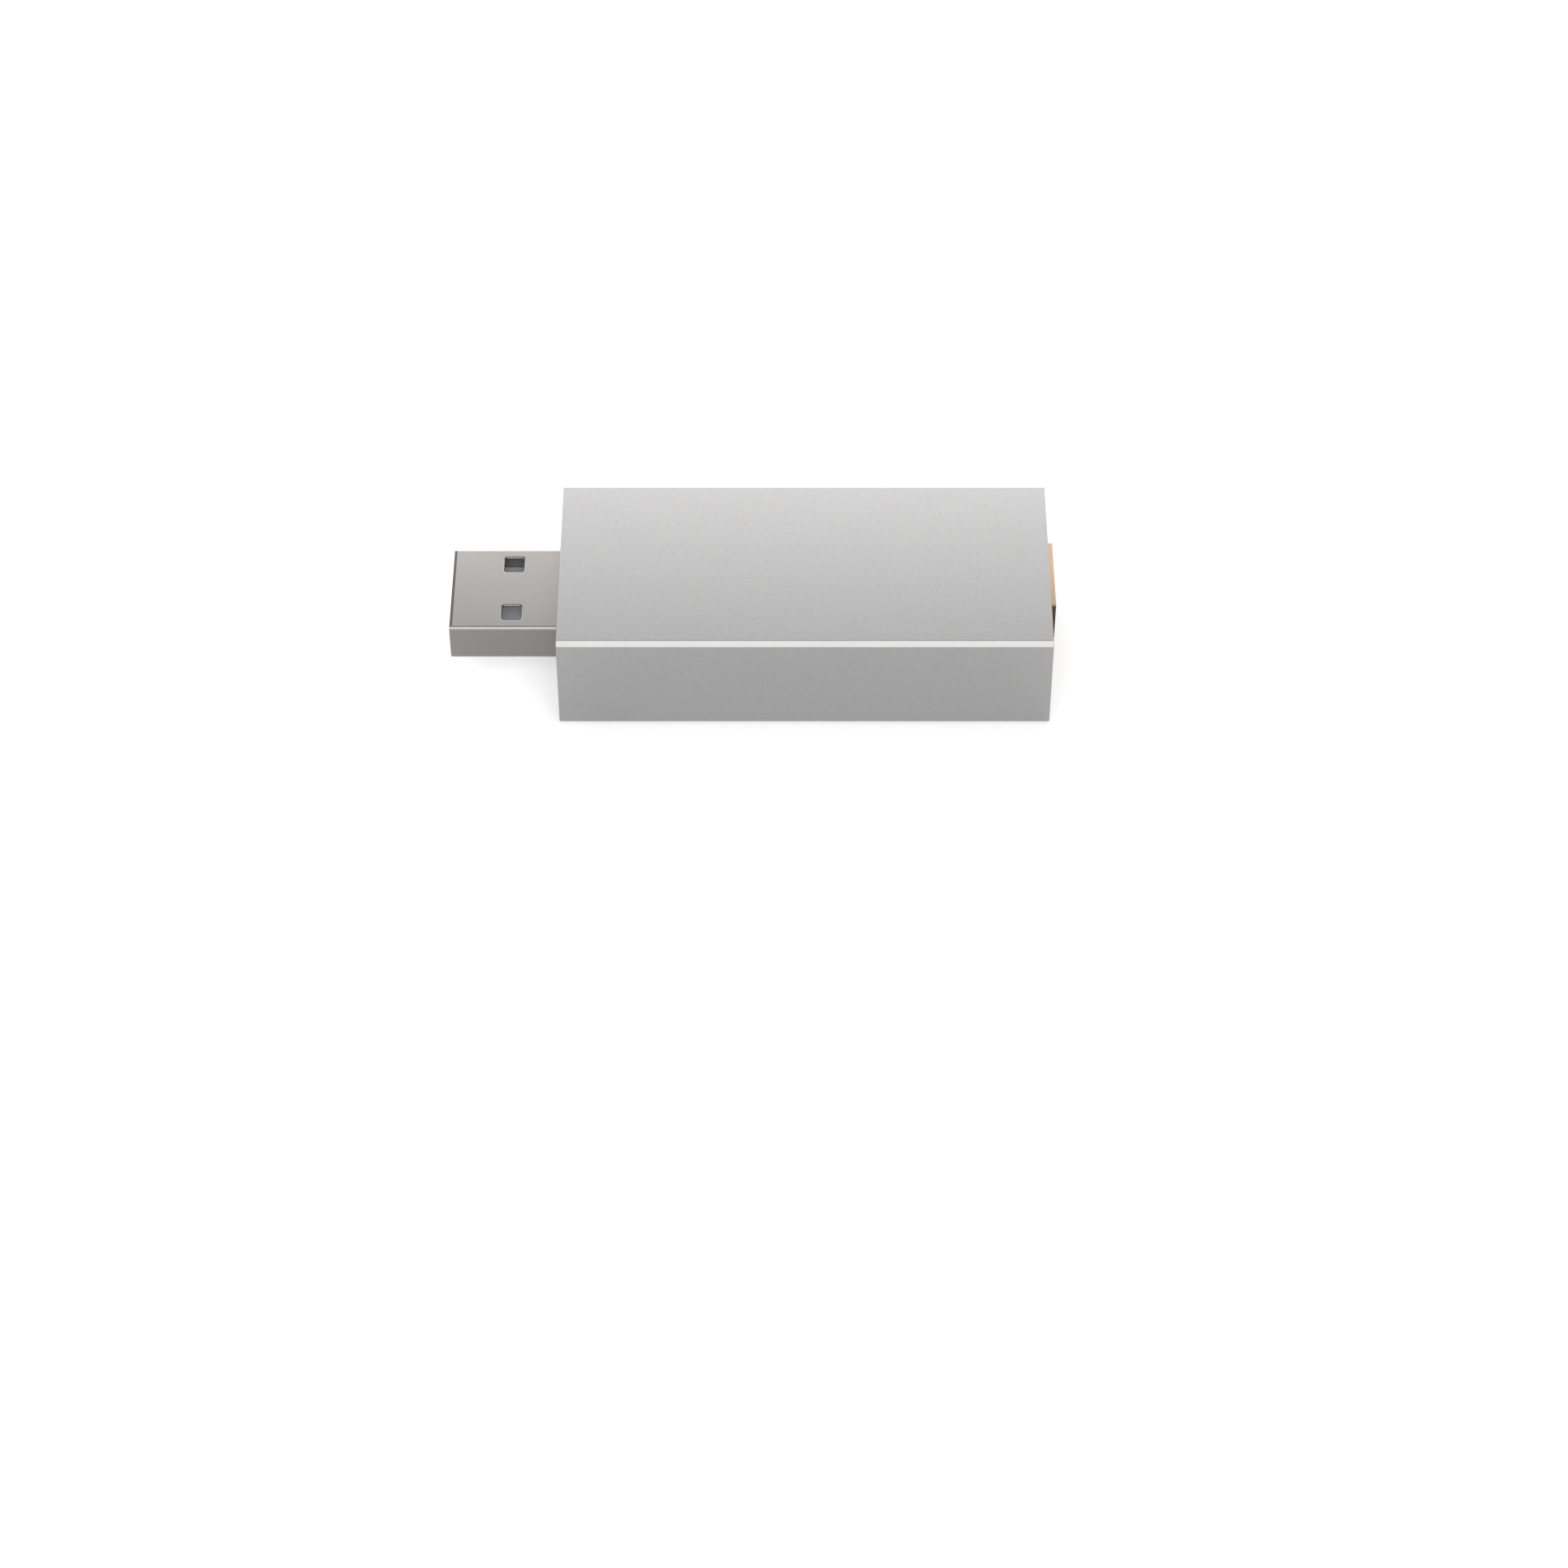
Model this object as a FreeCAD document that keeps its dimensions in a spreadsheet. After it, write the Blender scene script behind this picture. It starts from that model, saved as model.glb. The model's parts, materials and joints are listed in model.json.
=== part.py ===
"""USB radio stick: a metal case with a type A plug at one end and a coaxial antenna socket at the other.

Millimetres. The origin is under the middle of the whole stick, on the surface it lies on. +X points from the
plug to the antenna socket, +Y to the far long side and +Z up.
"""
import FreeCAD, Part
import Sketcher
import math
import os
import re

# Driving dimensions, in millimetres. Each one is written once, here.
SIZES = {
    # Extruded aluminium sleeve
    "housing_length": 51.8,
    "housing_width": 24.4,
    "housing_height": 12.0,
    "housing_wall": 1.2,
    "edge_chamfer": 0.5,
    "inside_corner_radius": 0.6,
    "post_wall": 0.6,
    "post_slot": 0.7,
    "guide_reach": 1.0,
    "guide_height": 0.8,
    # End plates, let into the sleeve's ends
    "plate_thickness": 1.2,
    "plate_clearance": 0.05,
    "opening_clearance": 0.1,
    # Countersunk screws with a cross recess
    "screw_diameter": 1.4,
    "screw_head_diameter": 2.5,
    "screw_length": 5.0,
    "screw_clearance": 0.05,
    "screw_margin": 0.35,
    "drive_span": 1.3,
    "drive_width": 0.3,
    "drive_depth": 0.4,
    # Circuit board
    "board_thickness": 1.0,
    "board_slack": 0.05,
    "board_side_gap": 0.15,
    "board_end_gap": 0.1,
    "solder_gap": 0.03,
    # Plug shell, folded from sheet
    "plug_width": 12.0,
    "plug_height": 4.5,
    "plug_protrusion": 11.6,
    "plug_inside_length": 5.0,
    "shell_thickness": 0.25,
    "shell_inside_radius": 0.05,
    "shell_tip_radius": 0.2,
    "shell_seam": 0.06,
    "seam_lock_start": 6.0,
    "seam_lock_length": 1.6,
    "seam_lock_reach": 1.1,
    "seam_lock_flare": 0.25,
    "window_length": 2.4,
    "window_width": 2.5,
    "window_radius": 0.4,
    "window_from_tip": 5.3,
    "window_offset": 3.65,
    "ear_length": 2.0,
    "ear_wall_gap": 0.35,
    "ear_from_end": 1.0,
    # Plastic tongue and the block behind it
    "tongue_setback": 0.6,
    "tongue_thickness": 1.85,
    "tongue_lead": 0.35,
    "cavity_depth": 9.2,
    "insulator_clearance": 0.03,
    # Plug contacts, moulded into the tongue
    "contact_width": 1.0,
    "contact_thickness": 0.2,
    "contact_nose": 0.4,
    "contact_tail": 1.6,
    "power_offset": 3.5,
    "power_pad_start": 1.6,
    "power_pad_end": 8.2,
    "data_offset": 1.0,
    "data_pad_start": 2.6,
    "data_pad_end": 5.0,
    # Antenna socket: a flange on the end plate and a barrel through it to the board
    "flange_width": 9.6,
    "flange_height": 8.7,
    "flange_thickness": 0.6,
    "flange_corner_radius": 0.3,
    "barrel_diameter": 6.2,
    "barrel_length": 3.1,
    "socket_diameter": 4.6,
    "socket_depth": 2.0,
    "dielectric_diameter": 4.1,
    "dielectric_clearance": 0.02,
    "jack_contact_diameter": 1.27,
    "jack_contact_bore": 0.94,
    "jack_contact_bore_depth": 1.3,
    "jack_contact_tail": 2.2,
    "leg_length": 3.0,
    "leg_gap": 3.0,
    "leg_height": 1.0,
    # Radio section, under a folded can
    "can_length": 11.5,
    "can_width": 13.0,
    "can_height": 2.2,
    "can_thickness": 0.2,
    "can_corner_radius": 0.5,
    "can_hole_diameter": 0.9,
    "can_hole_pitch": 2.3,
    "can_hole_rows": 3,
    "can_hole_columns": 4,
    "can_from_legs": 6.2,
    "radio_chip_side": 7.0,
    "radio_chip_height": 0.85,
    "crystal_length": 3.2,
    "crystal_width": 2.5,
    "crystal_height": 0.8,
    "crystal_rim": 0.15,
    "crystal_rim_height": 0.3,
    "filter_length": 2.0,
    "filter_width": 1.25,
    "filter_height": 0.9,
    # Supply and data section, behind the plug
    "bridge_chip_side": 4.0,
    "bridge_chip_height": 0.85,
    "bridge_chip_wall_gap": 0.95,
    "surge_chip_from_plug": 3.9,
    "surge_chip_length": 2.9,
    "surge_chip_width": 1.6,
    "surge_chip_height": 1.1,
    "surge_lead_pitch": 0.95,
    "surge_lead_width": 0.4,
    "surge_lead_reach": 0.6,
    "regulator_from_plug": 10.8,
    "regulator_wall_gap": 0.9,
    "regulator_length": 6.5,
    "regulator_width": 3.5,
    "regulator_height": 1.6,
    "regulator_lead_pitch": 2.3,
    "regulator_lead_width": 0.7,
    "regulator_lead_reach": 1.7,
    "regulator_tab_width": 3.0,
    "lead_thickness": 0.25,
    "package_lift": 0.1,
    # Chip-sized parts with a metal cap at each end
    "capacitor_length": 1.6,
    "capacitor_width": 0.8,
    "capacitor_height": 0.8,
    "resistor_length": 1.6,
    "resistor_width": 0.8,
    "resistor_height": 0.45,
    "ferrite_length": 2.0,
    "ferrite_width": 1.2,
    "ferrite_height": 0.9,
    "fuse_length": 3.2,
    "fuse_width": 1.6,
    "fuse_height": 0.6,
    "bulk_length": 3.2,
    "bulk_width": 1.6,
    "bulk_height": 1.6,
    "matching_length": 1.0,
    "matching_width": 0.5,
    "matching_height": 0.35,
    "cap_share": 0.25,
    "cap_lip": 0.04,
    "part_gap": 0.5,
}

# Places and sizes that follow from the driving dimensions.
PLACES = {
    "tip_x": "-(plug_protrusion + housing_length + flange_thickness) / 2",
    "housing_start": "tip_x + plug_protrusion",
    "housing_end": "housing_start + housing_length",
    "socket_x": "housing_end + flange_thickness",
    "mid_z": "housing_height / 2",
    "inside_y": "housing_width / 2 - housing_wall",
    "ceiling_z": "housing_height - housing_wall",
    "board_top": "mid_z - jack_contact_diameter / 2 - solder_gap",
    "board_bottom": "board_top - board_thickness",
    "board_front": "housing_start + plate_thickness + board_end_gap",
    "board_rear": "housing_end - plate_thickness - board_end_gap",
    "board_half_width": "inside_y - board_side_gap",
    "guide_top": "board_bottom - board_slack",
    "post_bottom": "board_top + board_slack",
    "screw_hole_radius": "screw_diameter / 2 + screw_clearance",
    "screw_y": "inside_y - plate_clearance - screw_margin - screw_head_diameter / 2",
    "screw_z": "post_bottom + post_wall + screw_hole_radius",
    "post_top": "screw_z + screw_hole_radius + post_wall",
    "post_y": "screw_y - screw_hole_radius - post_wall",
    "ear_reach": "post_y - plug_width / 2 - ear_wall_gap",
    "plug_end": "housing_start + plug_inside_length",
    "plug_length": "plug_protrusion + plug_inside_length",
    "shell_outside_radius": "shell_inside_radius + shell_thickness",
    "insulator_half_height": "plug_height / 2 - shell_thickness - insulator_clearance",
    "insulator_width": "plug_width - 2 * (shell_thickness + insulator_clearance)",
    "tongue_top": "tongue_thickness - insulator_half_height",
    "tail_bottom": "board_top - mid_z",
    "tail_top": "tail_bottom + contact_thickness",
    "contact_dip": "tongue_top - tail_top",
    "barrel_end": "flange_thickness + barrel_length",
    "jack_board_edge": "socket_x - barrel_end",
    "jack_leg_end": "jack_board_edge - leg_length",
    "can_rear": "jack_leg_end - can_from_legs",
    "can_x": "can_rear - can_length / 2",
    "filter_x": "can_rear + part_gap + filter_length / 2",
    "matching_x": "filter_x + filter_length / 2 + part_gap + matching_length / 2",
    "radio_x": "can_rear - can_thickness - part_gap - radio_chip_side / 2",
    "crystal_x": "radio_x - radio_chip_side / 2 - part_gap - crystal_width / 2",
    "surge_x": "plug_end + surge_chip_from_plug",
    "data_x": "surge_x + surge_chip_width / 2 + surge_lead_reach + part_gap + resistor_length / 2",
    "bridge_x": "data_x + resistor_length / 2 + part_gap + bridge_chip_side / 2",
    "bridge_y": "bridge_chip_side / 2 + bridge_chip_wall_gap - post_y",
    "regulator_x": "plug_end + regulator_from_plug",
    "regulator_y": "post_y - regulator_wall_gap - regulator_lead_reach - regulator_width / 2",
    "regulator_lead_end": "regulator_y - regulator_width / 2 - regulator_lead_reach",
    "bulk_spacing": "regulator_length / 2 + part_gap + bulk_width / 2",
    "ferrite_x": "regulator_x - bulk_spacing - bulk_width / 2 - part_gap - ferrite_length / 2",
    "ferrite_y": "post_y - regulator_wall_gap - ferrite_width / 2",
}

# How near an edge lies to a place to be picked for it, in millimetres.
EDGE_MATCH = 0.001

doc = FreeCAD.newDocument("usb_radio_stick")


def formula(text, local=""):
    """The formula with each name pointed at its sheet; names in the sheet called local stay bare."""
    def point(word):
        name = word.group()
        sheet = "sizes" if name in SIZES else "places" if name in PLACES else ""
        return name if sheet in ("", local) else f"{sheet}.{name}"
    return re.sub(r"[a-z_]+", point, str(text))


def fill_sheet(name, cells):
    """A sheet with the names in column A and their cells, with aliases, in column B."""
    sheet = doc.addObject("Spreadsheet::Sheet", name)
    for row, (alias, content) in enumerate(cells.items(), start=1):
        sheet.set(f"A{row}", alias)
        sheet.set(f"B{row}", content)
        sheet.setAlias(f"B{row}", alias)
    doc.recompute()
    return sheet


sizes = fill_sheet("sizes", {alias: str(number) for alias, number in SIZES.items()})
places = fill_sheet("places", {alias: "=" + formula(text, "places") for alias, text in PLACES.items()})


def value(text):
    """The number that a formula has now."""
    return float(places.evalExpression(formula(text, "places")))


def bind(piece, **formulas):
    """Binds properties to formulas; a double underline in a name stands for a dot."""
    for name, text in formulas.items():
        piece.setExpression(name.replace("__", "."), formula(text))


def put(piece, x="0", y="0", z="0"):
    """Puts a piece's own origin at a point that formulas give."""
    bind(piece, Placement__Base__x=x, Placement__Base__y=y, Placement__Base__z=z)


# Sketches


def new_body(name):
    body = doc.addObject("PartDesign::Body", name)
    body.Label = name
    return body


def sketch_on(body, plane, offset="0"):
    """A sketch on one of the body's own origin planes, moved along the plane's normal."""
    sketch = body.newObject("Sketcher::SketchObject", "sketch")
    support = next(feature for feature in body.Origin.OriginFeatures if feature.Role == plane)
    sketch.AttachmentSupport = [(support, "")]
    sketch.MapMode = "FlatFace"
    bind(sketch, AttachmentOffset__Base__z=offset)
    return sketch


def constrain(sketch, text, kind, *elements):
    """A dimension in the sketch, bound to a formula."""
    index = sketch.addConstraint(Sketcher.Constraint(kind, *elements, value(text)))
    sketch.setExpression(f"Constraints[{index}]", formula(text))


def hold(sketch, element, vertex, point):
    """Holds a vertex at a point of two formulas, measured from the sketch's origin."""
    constrain(sketch, point[0], "DistanceX", -1, 1, element, vertex)
    constrain(sketch, point[1], "DistanceY", -1, 1, element, vertex)


def spot(point):
    return FreeCAD.Vector(value(point[0]), value(point[1]), 0)


def polygon(sketch, points):
    """A closed outline of straight lines through points of two formulas each."""
    following = points[1:] + points[:1]
    lines = [sketch.addGeometry(Part.LineSegment(spot(a), spot(b))) for a, b in zip(points, following)]
    for before, line, point in zip(lines[-1:] + lines[:-1], lines, points):
        sketch.addConstraint(Sketcher.Constraint("Coincident", before, 2, line, 1))
        hold(sketch, line, 1, point)


def rectangle(sketch, low, high):
    polygon(sketch, [low, (high[0], low[1]), high, (low[0], high[1])])


def circle(sketch, centre, diameter):
    ring = sketch.addGeometry(Part.Circle(spot(centre), FreeCAD.Vector(0, 0, 1), value(diameter) / 2))
    hold(sketch, ring, 3, centre)
    constrain(sketch, diameter, "Diameter", ring)


def rounded_rectangle(sketch, centre, width, height, radius):
    """Four straight sides joined by quarter circles, from formulas."""
    left, right = f"{centre[0]} - ({width}) / 2", f"{centre[0]} + ({width}) / 2"
    low, high = f"{centre[1]} - ({height}) / 2", f"{centre[1]} + ({height}) / 2"
    inner_left, inner_right = f"{left} + {radius}", f"{right} - ({radius})"
    inner_low, inner_high = f"{low} + {radius}", f"{high} - ({radius})"
    # Each corner, going round anticlockwise: where its arc starts and ends, and its centre.
    corners = [
        ((left, inner_low), (inner_left, low), (inner_left, inner_low)),
        ((inner_right, low), (right, inner_low), (inner_right, inner_low)),
        ((right, inner_high), (inner_right, high), (inner_right, inner_high)),
        ((inner_left, high), (left, inner_high), (inner_left, inner_high)),
    ]
    arcs = []
    for (start, end, middle), turn in zip(corners, (180, 270, 0, 90)):
        ring = Part.Circle(spot(middle), FreeCAD.Vector(0, 0, 1), value(radius))
        arcs.append(sketch.addGeometry(Part.ArcOfCircle(ring, math.radians(turn), math.radians(turn + 90))))
    for index, arc in enumerate(arcs):
        after = (index + 1) % len(arcs)
        start, end, middle = corners[index]
        side = sketch.addGeometry(Part.LineSegment(spot(end), spot(corners[after][0])))
        sketch.addConstraint(Sketcher.Constraint("Coincident", arc, 2, side, 1))
        sketch.addConstraint(Sketcher.Constraint("Coincident", side, 2, arcs[after], 1))
        hold(sketch, arc, 1, start)
        hold(sketch, arc, 2, end)
        constrain(sketch, middle[0], "DistanceX", -1, 1, arc, 3)


# Features


def pad(body, sketch, length, side="One side", backward=False):
    feature = body.newObject("PartDesign::Pad", "pad")
    feature.Profile = sketch
    feature.SideType = side
    feature.Reversed = backward
    bind(feature, Length=length)
    doc.recompute()
    return feature


def pocket(body, sketch, depth, along_normal=False):
    """Cuts a sketch against its normal, or along it, and makes sure that it cut something."""
    before = body.Shape.Volume
    feature = body.newObject("PartDesign::Pocket", "pocket")
    feature.Profile = sketch
    feature.Reversed = along_normal
    bind(feature, Length=depth)
    doc.recompute()
    if not body.Shape.Volume < before:
        raise ValueError(f"{body.Label}: a pocket cut nothing")
    return feature


def round_edges(body, radius, chosen):
    """Rounds those edges of the body that the given test picks."""
    tip = body.Tip
    names = [f"Edge{number}" for number, edge in enumerate(tip.Shape.Edges, start=1) if chosen(edge)]
    feature = body.newObject("PartDesign::Fillet", "fillet")
    feature.Base = (tip, names)
    bind(feature, Radius=radius)
    doc.recompute()
    return feature


def runs_along_z(edge):
    box = edge.BoundBox
    return box.ZLength > box.XLength + box.YLength


def box(name, low, span):
    """A Part box from its lowest corner and its spans, all formulas."""
    piece = doc.addObject("Part::Box", name)
    bind(piece, Length=span[0], Width=span[1], Height=span[2])
    put(piece, *low)
    return piece


def cylinder(name, diameter, length, x):
    """A Part cylinder along +X from x, on the socket's axis."""
    piece = doc.addObject("Part::Cylinder", name)
    piece.Placement.Rotation = FreeCAD.Rotation(FreeCAD.Vector(0, 1, 0), 90)
    bind(piece, Radius=f"({diameter}) / 2", Height=length)
    put(piece, x, "0", "mid_z")
    return piece


def cut(name, base, tool):
    piece = doc.addObject("Part::Cut", name)
    piece.Base = base
    piece.Tool = tool
    piece.Label = name
    return piece


def fuse(name, pieces):
    piece = doc.addObject("Part::MultiFuse", name)
    piece.Shapes = pieces
    piece.Label = name
    return piece


def group(name, pieces):
    """One node of separate solids."""
    piece = doc.addObject("Part::Compound", name)
    piece.Links = pieces
    piece.Label = name
    return piece


def mirrored(points):
    """An outline's right half, from the bottom up, with its mirror image after it."""
    return points + [(f"-({across})", up) for across, up in reversed(points)]


# Housing


def housing_sleeve():
    """Extruded tube with a screw channel and a board groove along each side, milled back at both ends."""
    body = new_body("housing_sleeve")
    put(body, "housing_start")
    section = sketch_on(body, "YZ_Plane")
    polygon(section, mirrored([
        ("housing_width / 2 - edge_chamfer", "0"),
        ("housing_width / 2", "edge_chamfer"),
        ("housing_width / 2", "housing_height - edge_chamfer"),
        ("housing_width / 2 - edge_chamfer", "housing_height"),
    ]))
    # The board's edge lies between the guide below it and the screw channel's post above it.
    polygon(section, mirrored([
        ("inside_y", "housing_wall"),
        ("inside_y", "guide_top - guide_height"),
        ("inside_y - guide_reach", "guide_top - guide_height"),
        ("inside_y - guide_reach", "guide_top"),
        ("inside_y", "guide_top"),
        ("inside_y", "post_bottom"),
        ("post_y", "post_bottom"),
        ("post_y", "post_top"),
        ("inside_y", "post_top"),
        ("inside_y", "ceiling_z"),
    ]))
    pad(body, section, "housing_length")

    def in_inside_corner(edge):
        box = edge.BoundBox
        heights = value("housing_wall"), value("ceiling_z")
        straight = box.YLength + box.ZLength < EDGE_MATCH
        at_wall = abs(abs(box.YMax) - value("inside_y")) < EDGE_MATCH
        return straight and at_wall and min(abs(box.ZMax - height) for height in heights) < EDGE_MATCH

    round_edges(body, "inside_corner_radius", in_inside_corner)
    channels = sketch_on(body, "YZ_Plane")
    for side in ("", "-"):
        circle(channels, (f"{side}screw_y", "screw_z"), "2 * screw_hole_radius")
    pocket(body, channels, "housing_length", along_normal=True)
    slots = sketch_on(body, "YZ_Plane")
    rectangle(slots, ("post_y", "screw_z - post_slot / 2"), ("screw_y", "screw_z + post_slot / 2"))
    rectangle(slots, ("-screw_y", "screw_z - post_slot / 2"), ("-post_y", "screw_z + post_slot / 2"))
    pocket(body, slots, "housing_length", along_normal=True)
    for offset in ("0", "housing_length - plate_thickness"):
        recess = sketch_on(body, "YZ_Plane", offset)
        rounded_rectangle(recess, ("0", "mid_z"), "2 * inside_y", "ceiling_z - housing_wall",
                          "inside_corner_radius")
        pocket(body, recess, "plate_thickness", along_normal=True)
    return body


def end_plate(name, x, outward):
    """A plate flush with the sleeve's end; in its own frame its outer face is at x = 0 and looks along +X."""
    body = new_body(name)
    put(body, x, "0", "mid_z")
    body.Placement.Rotation = FreeCAD.Rotation(FreeCAD.Vector(0, 0, 1), outward)
    outline = sketch_on(body, "YZ_Plane")
    width = "2 * (inside_y - plate_clearance)"
    height = "ceiling_z - housing_wall - 2 * plate_clearance"
    rounded_rectangle(outline, ("0", "0"), width, height, "inside_corner_radius - plate_clearance")
    pad(body, outline, "plate_thickness", backward=True)
    holes = sketch_on(body, "YZ_Plane")
    for side in ("", "-"):
        circle(holes, (f"{side}screw_y", "screw_z - mid_z"), "screw_diameter + 4 * screw_clearance")
    doc.recompute()
    hole = body.newObject("PartDesign::Hole", "screw_holes")
    hole.Profile = holes
    hole.DepthType = "ThroughAll"
    hole.HoleCutType = "Countersink"
    hole.HoleCutCustomValues = True
    hole.HoleCutCountersinkAngle = 90
    bind(hole, Diameter="screw_diameter + 4 * screw_clearance",
         HoleCutDiameter="screw_head_diameter + 2 * screw_clearance")
    doc.recompute()
    return body


def plug_end_plate():
    body = end_plate("plug_end_plate", "housing_start", 180)
    opening = sketch_on(body, "YZ_Plane")
    rounded_rectangle(opening, ("0", "0"), "plug_width + 2 * opening_clearance",
                      "plug_height + 2 * opening_clearance", "shell_outside_radius + opening_clearance")
    pocket(body, opening, "plate_thickness")
    return body


def jack_end_plate():
    body = end_plate("jack_end_plate", "housing_end", 0)
    opening = sketch_on(body, "YZ_Plane")
    circle(opening, ("0", "0"), "barrel_diameter + 2 * opening_clearance")
    pocket(body, opening, "plate_thickness")
    return body


def end_screw(name, x, side, outward):
    """A countersunk screw, turned about its axis, with a cross recess cut into its flush head."""
    body = new_body(name)
    put(body, x, f"{side}screw_y", "screw_z")
    body.Placement.Rotation = FreeCAD.Rotation(FreeCAD.Vector(0, 0, 1), outward)
    profile = sketch_on(body, "XY_Plane")
    polygon(profile, [
        ("0", "0"),
        ("0", "screw_head_diameter / 2"),
        ("-(screw_head_diameter - screw_diameter) / 2", "screw_diameter / 2"),
        ("-screw_length + screw_diameter / 4", "screw_diameter / 2"),
        ("-screw_length", "screw_diameter / 4"),
        ("-screw_length", "0"),
    ])
    turned = body.newObject("PartDesign::Revolution", "turned")
    turned.Profile = profile
    turned.ReferenceAxis = (profile, ["H_Axis"])
    turned.Angle = 360
    doc.recompute()
    recess = sketch_on(body, "YZ_Plane")
    arm, half = "drive_span / 2", "drive_width / 2"
    polygon(recess, [
        (half, half), (arm, half), (arm, f"-{half}"), (half, f"-{half}"),
        (half, f"-{arm}"), (f"-{half}", f"-{arm}"), (f"-{half}", f"-{half}"), (f"-{arm}", f"-{half}"),
        (f"-{arm}", half), (f"-{half}", half), (f"-{half}", arm), (half, arm),
    ])
    pocket(body, recess, "drive_depth")
    return body


def end_plate_screws():
    ends = (("plug", "housing_start", 180), ("jack", "housing_end", 0))
    sides = (("far", ""), ("near", "-"))
    return group("end_plate_screws", [
        end_screw(f"{end}_{side_name}_screw", x, side, outward)
        for end, x, outward in ends
        for side_name, side in sides
    ])


# Circuit board


def main_board():
    """Board with a notch at its front for the plug and one at its rear for the socket's barrel."""
    body = new_body("main_board")
    put(body, "0", "0", "board_bottom")
    outline = sketch_on(body, "XY_Plane")
    near_side = [
        ("board_rear", "-board_half_width"),
        ("board_front", "-board_half_width"),
        ("board_front", "-plug_width / 2 - opening_clearance"),
        ("plug_end + opening_clearance", "-plug_width / 2 - opening_clearance"),
    ]
    rear_notch = [
        ("jack_board_edge", "barrel_diameter / 2 + opening_clearance"),
        ("board_rear", "barrel_diameter / 2 + opening_clearance"),
    ]
    far_side = [(along, f"-({across})") for along, across in reversed(near_side)]
    near_notch = [(along, f"-({across})") for along, across in rear_notch]
    polygon(outline, near_side + far_side + rear_notch[::-1] + near_notch)
    pad(body, outline, "board_thickness")
    return body


# USB plug. Its pieces share a frame with its origin in the middle of the mouth and +X into the housing.


def seam_edge(ahead, behind):
    """One edge of the seam, with its flared key, shifted by half the seam's width with the signs given."""
    half = "shell_seam / 2"
    lock_end = "seam_lock_start + seam_lock_length"
    return [
        ("0", f"{behind}{half}"),
        (f"seam_lock_start {ahead} {half}", f"{behind}{half}"),
        (f"seam_lock_start - seam_lock_flare {ahead} {half}", f"seam_lock_reach {behind} {half}"),
        (f"{lock_end} + seam_lock_flare {behind} {half}", f"seam_lock_reach {behind} {half}"),
        (f"{lock_end} {behind} {half}", f"{behind}{half}"),
        ("plug_length", f"{behind}{half}"),
    ]


def usb_shell():
    """Sheet folded to a tube: a locked seam underneath, two windows in each broad side, two solder ears."""
    body = new_body("usb_shell")
    put(body, "tip_x", "0", "mid_z")
    section = sketch_on(body, "YZ_Plane")
    rounded_rectangle(section, ("0", "0"), "plug_width", "plug_height", "shell_outside_radius")
    rounded_rectangle(section, ("0", "0"), "plug_width - 2 * shell_thickness",
                      "plug_height - 2 * shell_thickness", "shell_inside_radius")
    pad(body, section, "plug_length")
    half_width, half_height = value("plug_width / 2"), value("plug_height / 2")

    def at_mouth_outside(edge):
        box = edge.BoundBox
        reach = max(box.YMax, -box.YMin) - half_width, max(box.ZMax, -box.ZMin) - half_height
        return box.XMax < value("shell_thickness") and max(reach) > -value("shell_inside_radius") / 2

    round_edges(body, "shell_tip_radius", at_mouth_outside)
    windows = sketch_on(body, "XY_Plane", "plug_height / 2")
    for side in ("", "-"):
        rounded_rectangle(windows, ("window_from_tip + window_length / 2", f"{side}window_offset"),
                          "window_length", "window_width", "window_radius")
    pocket(body, windows, "plug_height")
    seam = sketch_on(body, "XY_Plane", "-plug_height / 2 + shell_thickness")
    polygon(seam, seam_edge("-", "+") + seam_edge("+", "-")[::-1])
    pocket(body, seam, "shell_thickness")
    ears = sketch_on(body, "XY_Plane", "tail_bottom")
    ear_end = "plug_length - ear_from_end"
    for near, far in (("plug_width / 2 - shell_thickness", "plug_width / 2 + ear_reach"),
                      ("-plug_width / 2 - ear_reach", "-plug_width / 2 + shell_thickness")):
        rectangle(ears, (f"{ear_end} - ear_length", near), (ear_end, far))
    pad(body, ears, "shell_thickness")
    return body


def usb_contact(name, offset, start, end):
    """A strip with its nose bent into the plastic, a flat pad, a bend down and a tail on the board."""
    body = new_body(name)
    put(body, "tip_x", offset, "mid_z")
    profile = sketch_on(body, "XZ_Plane")
    bend = "contact_thickness * tan(22.5)"
    slant = "contact_thickness * sin(45)"
    tail_end = "plug_length + contact_tail"
    polygon(profile, [
        (f"{start} - contact_nose", "tongue_top - contact_nose"),
        (start, "tongue_top"),
        (end, "tongue_top"),
        (f"{end} + contact_dip", "tail_top"),
        (tail_end, "tail_top"),
        (tail_end, "tail_bottom"),
        (f"{end} + contact_dip - {bend}", "tail_bottom"),
        (f"{end} - {bend}", "tongue_top - contact_thickness"),
        (f"{start} + {bend}", "tongue_top - contact_thickness"),
        (f"{start} - contact_nose + {slant}", f"tongue_top - contact_nose - {slant}"),
    ])
    pad(body, profile, "contact_width", side="Symmetric")
    return body


def usb_contacts():
    power = ("power_pad_start", "power_pad_end")
    data = ("data_pad_start", "data_pad_end")
    return [
        usb_contact("usb_power_contact", "-power_offset", *power),
        usb_contact("usb_data_minus_contact", "-data_offset", *data),
        usb_contact("usb_data_plus_contact", "data_offset", *data),
        usb_contact("usb_ground_contact", "power_offset", *power),
    ]


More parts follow.
